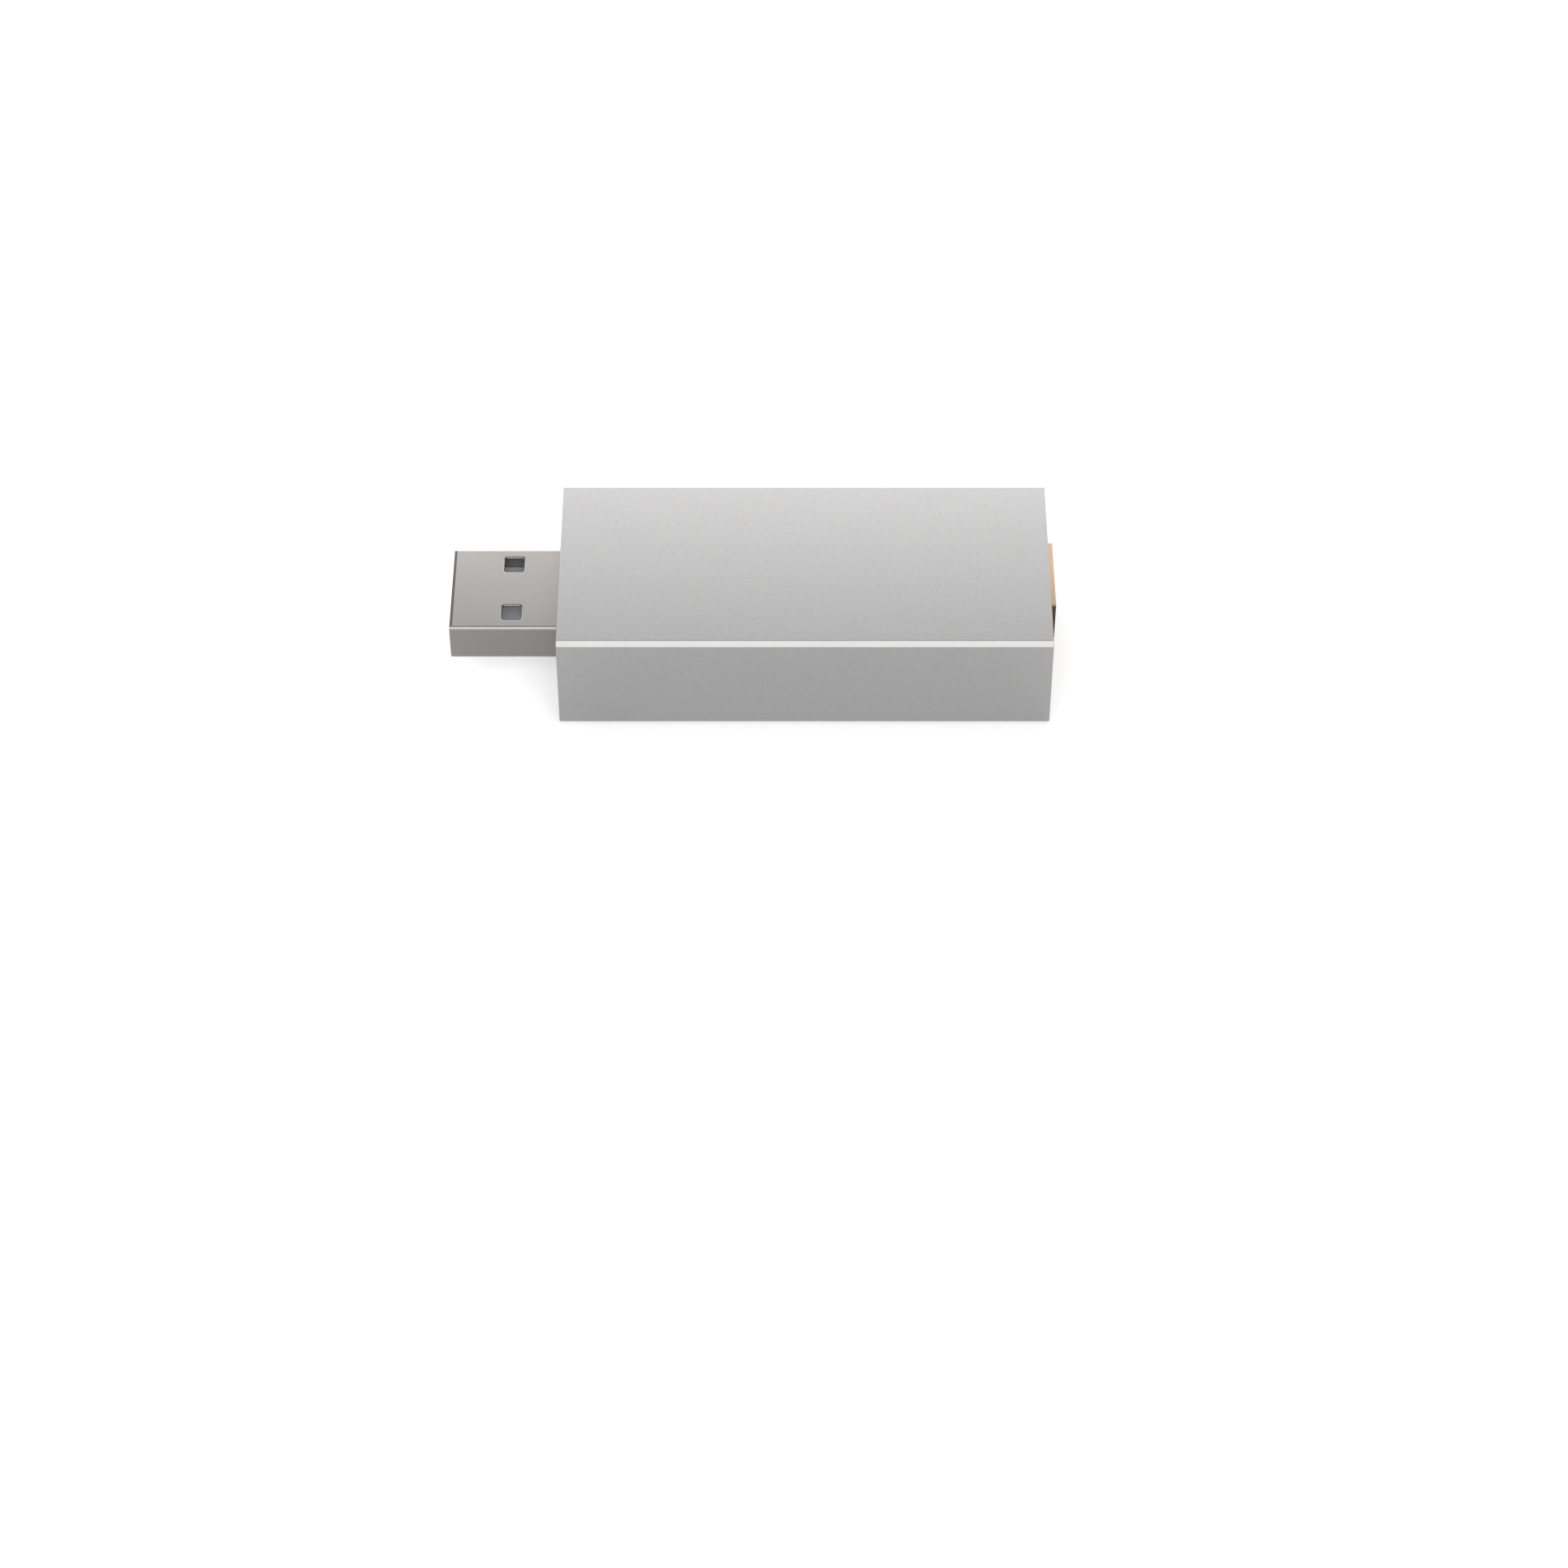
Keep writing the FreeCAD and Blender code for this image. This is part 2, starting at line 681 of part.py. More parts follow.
def usb_insulator(contacts):
    """Tongue in the mouth's lower half and a block that fills the shell behind it, moulded on contacts."""
    body = new_body("usb_insulator_moulding")
    put(body, "tip_x", "0", "mid_z")
    profile = sketch_on(body, "XZ_Plane")
    polygon(profile, [
        ("tongue_setback", "-insulator_half_height"),
        ("plug_length", "-insulator_half_height"),
        ("plug_length", "insulator_half_height"),
        ("cavity_depth", "insulator_half_height"),
        ("cavity_depth", "tongue_top"),
        ("tongue_setback + tongue_lead", "tongue_top"),
        ("tongue_setback", "tongue_top - tongue_lead"),
    ])
    pad(body, profile, "insulator_width", side="Symmetric")
    return cut("usb_insulator", body, group("contact_set", contacts))


# Antenna socket. Its body's frame has its origin in the middle of the mouth and +X out of the housing.


def rf_jack_body():
    """Flange on the end plate, a barrel through it, and legs milled from the barrel, astride the board."""
    body = new_body("rf_jack_body")
    put(body, "socket_x", "0", "mid_z")
    flange = sketch_on(body, "YZ_Plane")
    rounded_rectangle(flange, ("0", "0"), "flange_width", "flange_height", "flange_corner_radius")
    pad(body, flange, "flange_thickness", backward=True)
    barrel = sketch_on(body, "YZ_Plane", "-flange_thickness")
    circle(barrel, ("0", "0"), "barrel_diameter")
    pad(body, barrel, "barrel_length + leg_length", backward=True)
    reach = "barrel_diameter"
    gap = "leg_gap / 2"
    legs_top = "tail_bottom + leg_height"
    milled = {
        "between the legs": ((f"-{gap}", f"-{reach}"), (gap, reach)),
        "board": ((f"-{reach}", "tail_bottom - board_thickness - solder_gap"),
                  (reach, "tail_bottom + solder_gap")),
        "above the legs": ((f"-{reach}", legs_top), (reach, reach)),
    }
    for low, high in milled.values():
        sketch = sketch_on(body, "YZ_Plane", "-barrel_end")
        rectangle(sketch, low, high)
        pocket(body, sketch, "leg_length")
    mouth = sketch_on(body, "YZ_Plane")
    circle(mouth, ("0", "0"), "socket_diameter")
    pocket(body, mouth, "socket_depth")
    bore = sketch_on(body, "YZ_Plane")
    circle(bore, ("0", "0"), "dielectric_diameter")
    pocket(body, bore, "barrel_end")
    return body


def rf_jack_insulator():
    length = "barrel_end - socket_depth"
    outside = cylinder("dielectric", "dielectric_diameter - 2 * dielectric_clearance", length,
                       "jack_board_edge")
    hole = cylinder("dielectric_hole", "jack_contact_diameter + 2 * dielectric_clearance", length,
                    "jack_board_edge")
    return cut("rf_jack_insulator", outside, hole)


def rf_jack_centre_contact():
    """A socket contact, flush with the insulator, whose solid tail lies on the board."""
    length = "barrel_end - socket_depth + jack_contact_tail"
    rod = cylinder("contact_rod", "jack_contact_diameter", length, "jack_board_edge - jack_contact_tail")
    bore = cylinder("contact_bore", "jack_contact_bore", "jack_contact_bore_depth",
                    "socket_x - socket_depth - jack_contact_bore_depth")
    return cut("rf_jack_centre_contact", rod, bore)


# Parts on the board


def on_board(name, x, y, length, width, height, lift="0"):
    """A box that stands on the board, or is lifted off it, centred on x and y."""
    low = (f"{x} - ({length}) / 2", f"{y} - ({width}) / 2", f"board_top + {lift}")
    return box(name, low, (length, width, height))


def labelled(piece, name):
    piece.Label = name
    return piece


def radio_shield_can():
    """Folded can, open below, with rows of vent holes."""
    body = new_body("radio_shield_can")
    put(body, "can_x", "0", "board_top")
    outline = sketch_on(body, "XY_Plane")
    rectangle(outline, ("-can_length / 2", "-can_width / 2"), ("can_length / 2", "can_width / 2"))
    pad(body, outline, "can_height")
    round_edges(body, "can_corner_radius", runs_along_z)
    inside = sketch_on(body, "XY_Plane")
    rounded_rectangle(inside, ("0", "0"), "can_length - 2 * can_thickness", "can_width - 2 * can_thickness",
                      "can_corner_radius - can_thickness")
    pocket(body, inside, "can_height - can_thickness", along_normal=True)
    vents = sketch_on(body, "XY_Plane", "can_height")
    columns, rows = int(value("can_hole_columns")), int(value("can_hole_rows"))
    for column in range(columns):
        for row in range(rows):
            centre = (f"({column} - (can_hole_columns - 1) / 2) * can_hole_pitch",
                      f"({row} - (can_hole_rows - 1) / 2) * can_hole_pitch")
            circle(vents, centre, "can_hole_diameter")
    pocket(body, vents, "can_thickness")
    return body


def radio_crystal():
    """Metal lid on a ceramic base that is a little wider."""
    rim = on_board("crystal_base", "crystal_x", "0", "crystal_width", "crystal_length", "crystal_rim_height")
    lid = on_board("crystal_lid", "crystal_x", "0", "crystal_width - 2 * crystal_rim",
                   "crystal_length - 2 * crystal_rim", "crystal_height")
    return fuse("radio_crystal", [rim, lid])


def surge_protection_chip():
    """Six-lead package whose leads point along X."""
    package = on_board("surge_package", "surge_x", "0", "surge_chip_width", "surge_chip_length",
                       "surge_chip_height - package_lift", "package_lift")
    leads = [
        on_board(f"surge_lead_{row}", "surge_x", f"({row}) * surge_lead_pitch",
                 "surge_chip_width + 2 * surge_lead_reach", "surge_lead_width", "lead_thickness")
        for row in (-1, 0, 1)
    ]
    return fuse("surge_protection_chip", [package] + leads)


def voltage_regulator():
    """Power package with three leads on one side and a wide tab on the other."""
    package = on_board("regulator_package", "regulator_x", "regulator_y", "regulator_length",
                       "regulator_width", "regulator_height - package_lift", "package_lift")
    leads = [
        box(f"regulator_lead_{row}",
            (f"regulator_x + ({row}) * regulator_lead_pitch - regulator_lead_width / 2",
             "regulator_lead_end", "board_top"),
            ("regulator_lead_width", "regulator_lead_reach + regulator_width / 2", "lead_thickness"))
        for row in (-1, 0, 1)
    ]
    tab = box("regulator_tab", ("regulator_x - regulator_tab_width / 2", "regulator_y", "board_top"),
              ("regulator_tab_width", "regulator_width / 2 + regulator_lead_reach", "lead_thickness"))
    return fuse("voltage_regulator", [package, tab] + leads)


def capped_part(name, kind, x, y, across=False):
    """A small part of the given kind: a body between two metal caps, along X or turned across the board."""
    length, width, height = f"{kind}_length", f"{kind}_width", f"{kind}_height"

    def slab(slab_name, shift, long, lip):
        wide = f"{width} - 2 * {lip}"
        x_spot, y_spot = (x, f"{y} + {shift}") if across else (f"{x} + {shift}", y)
        spans = (wide, long) if across else (long, wide)
        return on_board(slab_name, x_spot, y_spot, *spans, f"{height} - {lip}")

    shift = f"({length}) * (1 - cap_share) / 2"
    cap_length = f"({length}) * cap_share"
    core = slab(f"{name}_core", "0", length, "cap_lip")
    caps = [slab(f"{name}_cap_{end}", f"({end}) * {shift}", cap_length, "0") for end in (-1, 1)]
    return fuse(name, [core] + caps)


def capped_group(name, kind, spots):
    return group(name, [
        capped_part(f"{name}_{number}", kind, x, y, across)
        for number, (x, y, across) in enumerate(spots, start=1)
    ])


def board_parts():
    """The parts on the board's upper face, each placed by the plug, the socket or the part that it serves."""
    radio_chip = on_board("radio_chip", "radio_x", "0", "radio_chip_side", "radio_chip_side",
                          "radio_chip_height")
    bridge_chip = on_board("usb_bridge_chip", "bridge_x", "bridge_y", "bridge_chip_side",
                           "bridge_chip_side", "bridge_chip_height")
    antenna_filter = on_board("antenna_filter", "filter_x", "0", "filter_length", "filter_width",
                              "filter_height")
    beside_radio = "radio_chip_side / 2 + part_gap + capacitor_width / 2"
    beside_bridge = "bridge_chip_side / 2 + part_gap + capacitor_width / 2"
    bulk = [(f"regulator_x {side} bulk_spacing", "regulator_y", True) for side in "-+"]
    ceramic = [
        (f"radio_x {along} radio_chip_side / 4", f"{across}({beside_radio})", False)
        for along in "-+"
        for across in ("", "-")
    ]
    ceramic += [(f"bridge_x {side} ({beside_bridge})", "bridge_y", True) for side in "-+"]
    pull_x = "can_x - can_length / 2 - part_gap - resistor_width / 2"
    resistors = [("data_x", f"-({row}) * (resistor_width + part_gap)", False) for row in (0, 1)]
    resistors += [(pull_x, f"({row}) * (resistor_length + part_gap)", True) for row in (-2, -1, 0, 1, 2)]
    ferrites = [("ferrite_x", f"ferrite_y - ({row}) * (ferrite_width + part_gap)", False) for row in (0, 1)]
    matching = [
        ("matching_x", "0", False),
        ("matching_x + matching_length + part_gap", "0", False),
        ("matching_x + matching_length / 2", "matching_width + part_gap", True),
    ]
    return [
        radio_shield_can(),
        labelled(radio_chip, "radio_chip"),
        radio_crystal(),
        labelled(antenna_filter, "antenna_filter"),
        capped_group("antenna_matching_parts", "matching", matching),
        labelled(bridge_chip, "usb_bridge_chip"),
        surge_protection_chip(),
        voltage_regulator(),
        capped_part("resettable_fuse", "fuse", "surge_x", "bridge_y - part_gap", False),
        capped_group("bulk_capacitors", "bulk", bulk),
        capped_group("ceramic_capacitors", "capacitor", ceramic),
        capped_group("chip_resistors", "resistor", resistors),
        capped_group("ferrite_beads", "ferrite", ferrites),
    ]


def build():
    contacts = usb_contacts()
    return [
        housing_sleeve(),
        plug_end_plate(),
        jack_end_plate(),
        end_plate_screws(),
        main_board(),
        usb_shell(),
        usb_insulator(contacts),
        *contacts,
        rf_jack_body(),
        rf_jack_insulator(),
        rf_jack_centre_contact(),
        *board_parts(),
    ]


def check(pieces):
    """Stops before anything is written if an object failed or a piece's shape isn't sound."""
    for item in doc.Objects:
        if {"Invalid", "Error"} & set(item.State):
            raise ValueError(f"{item.Label}: {item.State}")
    for piece in pieces:
        if piece.Shape.isNull() or not piece.Shape.isValid() or not piece.Shape.Solids:
            raise ValueError(f"{piece.Label}: its shape isn't sound")


subparts = build()
doc.recompute()
check(subparts)
os.makedirs("parts", exist_ok=True)
for subpart in subparts:
    subpart.Shape.exportStep(f"parts/{subpart.Label}.step")
    print(f"{subpart.Label}: {len(subpart.Shape.Solids)} solid, {subpart.Shape.Volume:.3f} mm3")
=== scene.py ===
# %% [markdown]
# # A metal-cased USB radio stick
#
# This lesson dresses a small product: an aluminium sleeve with a type A plug at one end and a gold-plated antenna
# socket at the other. The exact solids come from a CAD model. Blender gives them the finer forms and the finishes
# that a maker would give the real pieces. All lengths in Blender are metres, so millimetres are multiplied by MM.

# %% Load the CAD model
import json
import math

import bmesh
import bpy
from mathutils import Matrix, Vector


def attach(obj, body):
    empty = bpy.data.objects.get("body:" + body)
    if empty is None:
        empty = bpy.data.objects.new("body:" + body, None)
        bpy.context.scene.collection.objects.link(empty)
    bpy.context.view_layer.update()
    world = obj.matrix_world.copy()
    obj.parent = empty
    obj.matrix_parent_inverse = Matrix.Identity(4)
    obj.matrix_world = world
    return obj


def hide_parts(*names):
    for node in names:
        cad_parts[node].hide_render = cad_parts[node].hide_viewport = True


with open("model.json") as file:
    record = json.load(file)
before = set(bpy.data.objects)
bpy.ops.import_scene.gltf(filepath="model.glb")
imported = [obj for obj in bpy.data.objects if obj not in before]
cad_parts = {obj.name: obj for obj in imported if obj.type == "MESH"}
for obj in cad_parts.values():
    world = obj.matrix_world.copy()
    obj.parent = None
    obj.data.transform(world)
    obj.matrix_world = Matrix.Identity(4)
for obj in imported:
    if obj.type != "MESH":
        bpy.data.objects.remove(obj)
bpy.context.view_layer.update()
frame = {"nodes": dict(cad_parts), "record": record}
scene = bpy.context.scene
MM = 0.001
print("CAD nodes:", len(frame["nodes"]))

# %% [markdown]
# ## The camera
#
# A camera is a place, a direction and a lens. The picture to match was taken from 46.7 degrees above the table,
# straight across the long side, with a long lens: few converging lines, little distortion. The focal length in
# pixels came from a fit to the object's edges, and the sensor width turns it into the millimetres of a lens.

# %% Camera
IMAGE_SIDE_PIXELS = 1932
FOCAL_LENGTH_PIXELS = 5256.7
SENSOR_WIDTH_MM = 36
CAMERA_ELEVATION = math.radians(46.67)
CAMERA_PLACE_MM = (3.34, -326.7, 324.2)

camera = bpy.data.objects.new("camera", bpy.data.cameras.new("camera"))
scene.collection.objects.link(camera)
camera.data.sensor_width = SENSOR_WIDTH_MM
camera.data.lens = SENSOR_WIDTH_MM * FOCAL_LENGTH_PIXELS / IMAGE_SIDE_PIXELS
camera.data.clip_start = 10 * MM
camera.location = [length * MM for length in CAMERA_PLACE_MM]
camera.rotation_euler = (math.pi / 2 - CAMERA_ELEVATION, 0, 0)
scene.camera = camera
print("lens:", round(camera.data.lens, 1), "mm")

# %% [markdown]
# ## Helpers for materials
#
# Hex colours are written for screens, in sRGB, while the renderer adds up light, which is linear. One function
# does that step for every colour. A second one adds a shader node, so that each material reads as a short list
# of nodes and what feeds them.


# %% Colour and node helpers
def linear(hex_colour):
    """An sRGB hex colour as the linear RGBA that a socket takes."""
    shares = [int(hex_colour[start:start + 2], 16) / 255 for start in (1, 3, 5)]
    light = [share / 12.92 if share <= 0.04045 else ((share + 0.055) / 1.055) ** 2.4 for share in shares]
    return (*light, 1.0)


def add_node(tree, kind, inputs=None, **settings):
    """A new node: settings are its own properties, inputs are numbers, colours or other nodes' outputs."""
    node = tree.nodes.new(kind)
    for name, setting in settings.items():
        setattr(node, name, setting)
    for socket, given in (inputs or {}).items():
        if isinstance(given, bpy.types.NodeSocket):
            tree.links.new(given, node.inputs[socket])
        else:
            node.inputs[socket].default_value = given
    return node


def new_material(name):
    """An empty node material, with its output and the place on the object that its patterns read."""
    material = bpy.data.materials.new(name)
    material.use_nodes = True
    tree = material.node_tree
    tree.nodes.clear()
    output = add_node(tree, "ShaderNodeOutputMaterial")
    place = add_node(tree, "ShaderNodeTexCoord").outputs["Object"]
    return material, tree, output, place


def per_metre(grain_mm):
    """The scale of a noise pattern whose grains are that many millimetres across."""
    return 1 / (grain_mm * MM)


print("mid grey #808080 is", round(linear("#808080")[0], 3), "as light")

# %% [markdown]
# ## Metals
#
# Every metal here differs in three things: its colour, how wide it spreads a highlight, and the grain that its
# making left. Blasting with glass beads dents aluminium all over, and anodising fixes that grain, so the sleeve has
# a broad soft sheen. A cutting tool leaves bright chamfers. Nickel plate on steel is darker, warmer and smoother.
# Painted textures could show this too. Noise patterns are used because they need no picture and no unwrapping.

# %% Metal materials
FINE_GRAIN_MM, FINE_SHARE = 0.08, 0.1
CLOUD_MM = 6.0
CLOUD_LOW, CLOUD_HIGH = 0.3, 0.7  # nearly all of the noise lies between these


def metal(name, colour, roughness, mottle, grain_mm, depth_mm, stretch=(1, 1, 1), shade=0.02):
    """A metal whose roughness varies by mottle. Its grain is a bump of depth_mm, as wide as grain_mm / stretch along
    X, Y and Z. Its pits are darker by shade, a painted shade, and its crests lighter by as much, a painted light."""
    material, tree, output, place = new_material(name)
    turned = add_node(tree, "ShaderNodeMapping", {"Vector": place, "Scale": stretch})
    grain = add_node(tree, "ShaderNodeTexNoise", {
        "Vector": turned.outputs["Vector"], "Scale": per_metre(grain_mm), "Detail": 1.0, "Roughness": 0.5})
    fine = add_node(tree, "ShaderNodeTexNoise", {
        "Vector": place, "Scale": per_metre(FINE_GRAIN_MM), "Detail": 1.0})
    both = add_node(tree, "ShaderNodeMix", {
        "Factor": FINE_SHARE, "A": grain.outputs["Fac"], "B": fine.outputs["Fac"]}, data_type="FLOAT")
    bump = add_node(tree, "ShaderNodeBump", {
        "Height": both.outputs["Result"], "Strength": 1.0, "Distance": depth_mm * MM})
    clouds = add_node(tree, "ShaderNodeTexNoise", {"Vector": place, "Scale": per_metre(CLOUD_MM), "Detail": 4.0})
    spread = add_node(tree, "ShaderNodeMapRange", {
        "Value": clouds.outputs["Fac"], "From Min": CLOUD_LOW, "From Max": CLOUD_HIGH,
        "To Min": roughness - mottle, "To Max": roughness + mottle})
    red, green, blue, _ = linear(colour)
    # Painted shade in the grain's pits and painted light on its crests, following the bump.
    pits, crests = ((red * level, green * level, blue * level, 1.0) for level in (1 - shade, 1 + shade))
    tone = add_node(tree, "ShaderNodeMix", {
        "Factor": grain.outputs["Fac"], "A": pits, "B": crests}, data_type="RGBA")
    surface = add_node(tree, "ShaderNodeBsdfPrincipled", {
        "Base Color": tone.outputs["Result"], "Metallic": 1.0, "Roughness": spread.outputs["Result"],
        "Normal": bump.outputs["Normal"]})
    tree.links.new(surface.outputs["BSDF"], output.inputs["Surface"])
    print("metal:", name, "with a grain of", grain_mm, "mm")
    return material


# Blasted with beads, then anodised clear: a soft sheen over a fine pebbled grain, with painted shade in its pits
# and painted light on its crests. Real beads leave dents of about 0.1 mm, too fine to show in the picture, so the
# grain is drawn 0.3 to 0.4 mm across.
blasted_aluminium = metal("blasted_anodised_aluminium", "#A3A2A2", roughness=0.44, mottle=0.004,
                          grain_mm=0.38, depth_mm=0.009, stretch=(0.9, 1.3, 1.3), shade=0.06)
# Cut with a bright tool after anodising: a clear highlight, with faint lines drawn out along the edge.
bright_cut_aluminium = metal("bright_cut_aluminium", "#999897", roughness=0.22, mottle=0.03,
                             grain_mm=0.20, depth_mm=0.001, stretch=(0.2, 1, 1))
# Nickel on brushed strip: darker and warmer than aluminium, with reflections drawn out along the strip.
nickel_plate = metal("nickel_plated_steel", "#868482", roughness=0.32, mottle=0.01,
                     grain_mm=0.15, depth_mm=0.0008, stretch=(0.3, 1, 1))
# The same plate, a little glossier, and lighter in colour on the bends and inside: a painted highlight along the
# bends, and painted light on the dim inside.
nickel_painted_light = metal("nickel_plate_painted_light", "#A1A09E", roughness=0.28, mottle=0.03,
                      grain_mm=0.15, depth_mm=0.0008, stretch=(0.3, 1, 1))
# Bare steel where the strip was cut and coined, coloured dark: the thin dark line along the mouth is a painted
# dark reflection.
cut_steel_painted_reflection = metal("cut_steel_edge_painted_reflection", "#51504E", roughness=0.35, mottle=0.04, grain_mm=0.15, depth_mm=0.002)
# Nickel on a small turned screw: pale, with a clear gloss.
screw_nickel = metal("nickel_plated_screw", "#B8B6B2", roughness=0.25, mottle=0.03, grain_mm=0.10, depth_mm=0.001)
# Thin gold on satin brass: a pale warm tan with a soft gloss.
gold_brass = metal("gold_plated_brass", "#A48D74", roughness=0.28, mottle=0.04, grain_mm=0.12, depth_mm=0.001)
# Dark brown on the flange's near and far sides: a painted shade, for the shaded table that these sides reflect.
brass_painted_shade = metal("brass_side_painted_shade", "#4C4238", roughness=0.35, mottle=0.04, grain_mm=0.15, depth_mm=0.002)
# Hard gold on stamped contacts: a deep yellow gloss.
contact_gold = metal("gold_plated_contact", "#E0B060", roughness=0.22, mottle=0.03, grain_mm=0.10, depth_mm=0.0005)
# Tin on thin sheet: whitish and a little cloudy.
tin_plate = metal("tin_plated_steel", "#C8C8CA", roughness=0.35, mottle=0.05, grain_mm=0.25, depth_mm=0.002)

# %% [markdown]
# ## Plastics, laminate and ceramic
#
# The rest isn't metal, so light mostly enters it and comes back with its colour, under a thin clear gloss. One flat
# colour would look painted. Two close ones that mingle along the same grain as the bump look moulded or fired.

# %% Other materials
SHEEN_SPREAD = 0.05


def solid_finish(name, colour, second, ior, roughness, grain_mm, depth_mm):
    """A non-metal in two close colours that mingle, with a moulded or fired grain of that width and depth."""
    material, tree, output, place = new_material(name)
    grain = add_node(tree, "ShaderNodeTexNoise", {
        "Vector": place, "Scale": per_metre(grain_mm), "Detail": 3.0, "Roughness": 0.6})
    colours = add_node(tree, "ShaderNodeMix", {
        "Factor": grain.outputs["Fac"], "A": linear(colour), "B": linear(second)}, data_type="RGBA")
    spread = add_node(tree, "ShaderNodeMapRange", {
        "Value": grain.outputs["Fac"], "To Min": roughness - SHEEN_SPREAD, "To Max": roughness + SHEEN_SPREAD})
    bump = add_node(tree, "ShaderNodeBump", {
        "Height": grain.outputs["Fac"], "Strength": 1.0, "Distance": depth_mm * MM})
    surface = add_node(tree, "ShaderNodeBsdfPrincipled", {
        "Base Color": colours.outputs["Result"], "Roughness": spread.outputs["Result"], "IOR": ior,
        "Normal": bump.outputs["Normal"]})
    tree.links.new(surface.outputs["BSDF"], output.inputs["Surface"])
    print("finish:", name, "with a grain of", grain_mm, "mm")
    return material


# PBT from a mould: near white with a cool cast and a dry satin skin.
tongue_plastic = solid_finish(
    "moulded_pbt", "#E4E6EC", "#DCDEE4", ior=1.55, roughness=0.45, grain_mm=0.15, depth_mm=0.003)
# Fluoropolymer turned from rod: milky, waxy and hardly glossy, because it bends light so little.
fluoropolymer = solid_finish(
    "turned_fluoropolymer", "#EDEDEA", "#E4E4E0", ior=1.35, roughness=0.5, grain_mm=0.10, depth_mm=0.002)
# Solder mask on glass laminate: a green gloss over the faint weave of the cloth under it.
solder_mask = solid_finish(
    "solder_mask_on_laminate", "#1E5B34", "#1A4F2E", ior=1.55, roughness=0.35, grain_mm=0.4, depth_mm=0.004)
# Moulded epoxy of the chips: near black and matt.
package_epoxy = solid_finish(
    "package_epoxy", "#26262A", "#1D1D20", ior=1.55, roughness=0.55, grain_mm=0.06, depth_mm=0.003)
# Fired ceramic of the small parts: matt and fine, and white, tan or dark with what was fired into it.
white_ceramic = solid_finish(
    "white_ceramic", "#E6E5E0", "#DAD9D3", ior=1.7, roughness=0.5, grain_mm=0.10, depth_mm=0.002)
tan_ceramic = solid_finish(
    "tan_ceramic", "#A88B68", "#97795A", ior=1.7, roughness=0.5, grain_mm=0.08, depth_mm=0.002)
dark_ceramic = solid_finish(
    "dark_ceramic", "#2A2C33", "#202228", ior=1.7, roughness=0.45, grain_mm=0.08, depth_mm=0.002)

# %% [markdown]
# ## Finishes for the CAD solids
#
# The record names a material slot for every solid, so one table dresses them all. The parts on the circuit board
# keep their exact solids: they are plain bodies in reality too, and only seen when the sleeve is taken off.

# %% Finishes of the CAD nodes
FINISHES = {
    "anodised_sleeve": blasted_aluminium,
    "anodised_plate": blasted_aluminium,
    "screw_steel": screw_nickel,
    "board_laminate": solder_mask,
    "plated_steel": nickel_plate,
    "tongue_plastic": tongue_plastic,
    "contact_gold": contact_gold,
    "jack_gold": gold_brass,
    "white_dielectric": fluoropolymer,
    "tinned_steel": tin_plate,
    "chip_package": package_epoxy,
    "white_chip": white_ceramic,
    "tan_chip": tan_ceramic,
    "dark_chip": dark_ceramic,
}
SLOTS = {row["node"]: row["material_slot"] for row in frame["record"]["subparts"]}
for node, slot in SLOTS.items():
    mesh = frame["nodes"][node].data
    mesh.materials.clear()
    mesh.materials.append(FINISHES[slot])
print("dressed solids:", len(SLOTS))

# %% [markdown]
# ## Sizes that the pieces share
#
# X runs along the stick, from the plug's tip to the socket, and z = 0 is the table. Pieces that meet take their
# sizes from one list, so they still fit when a size changes. PROUD and PAST are for cutters: one that ends exactly
# on a face could leave a film of metal there, so it stands proud of that face or goes past it.

# %% Shared sizes, in millimetres
TIP_X, HOUSING_START, HOUSING_END, SOCKET_X = -32.0, -20.4, 31.4, 32.0
MIDDLE_Z = 6.0
HOUSING_WIDTH, HOUSING_HEIGHT, HOUSING_WALL = 24.4, 12.0, 1.2
PLATE_THICKNESS = 1.2
PLUG_WIDTH, PLUG_HEIGHT, SHEET = 12.0, 4.5, 0.25
PLUG_END = -15.4
SCREW_Y, SCREW_Z = 9.35, 6.735
PROUD, PAST = 0.1, 1
HAIR, TOUCH = 0.002, 0.01  # wider than a rounding error, narrower than any form here
FACING = 0.9  # a face whose normal has this share along an axis faces that way
print("overall length:", SOCKET_X - TIP_X, "mm")

# %% [markdown]
# ## Helpers for modelling
#
# The visible pieces are modelled as by hand: a primitive is put in place, shaped in edit mode, and finished with
# modifiers. An operator works on whatever is selected, so each helper first says exactly what that is. Every
# piece keeps its own place in its mesh and its origin at zero, where patterns and exports expect it.


# %% Selecting and applying
def use_only(*pieces):
    """Selects these pieces alone, in object mode; operators work on the first."""
    if bpy.context.mode != "OBJECT":
        bpy.ops.object.mode_set(mode="OBJECT")
    bpy.ops.object.select_all(action="DESELECT")
    for piece in pieces:
        piece.select_set(True)
    bpy.context.view_layer.objects.active = pieces[0]


def start_shaping(piece):
    """Opens the piece in edit mode."""
    use_only(piece)
    bpy.ops.object.mode_set(mode="EDIT")


def stop_shaping():
    """Goes back to object mode."""
    bpy.ops.object.mode_set(mode="OBJECT")


def middle(part):
    """The middle of a face, an edge or a vertex, in millimetres."""
    corners = getattr(part, "verts", [part])
    return sum((corner.co for corner in corners), Vector()) / len(corners) / MM


def pick(piece, kind, rule):
    """In edit mode, selects the VERT, EDGE or FACE parts that the rule accepts, and nothing else."""
    bpy.ops.mesh.select_mode(type=kind)
    bpy.ops.mesh.select_all(action="DESELECT")
    mesh = bmesh.from_edit_mesh(piece.data)
    parts = {"VERT": mesh.verts, "EDGE": mesh.edges, "FACE": mesh.faces}[kind]
    mesh.normal_update()
    chosen = [part for part in parts if rule(part)]
    for part in chosen:
        part.select_set(True)
    bmesh.update_edit_mesh(piece.data)
    return len(chosen)


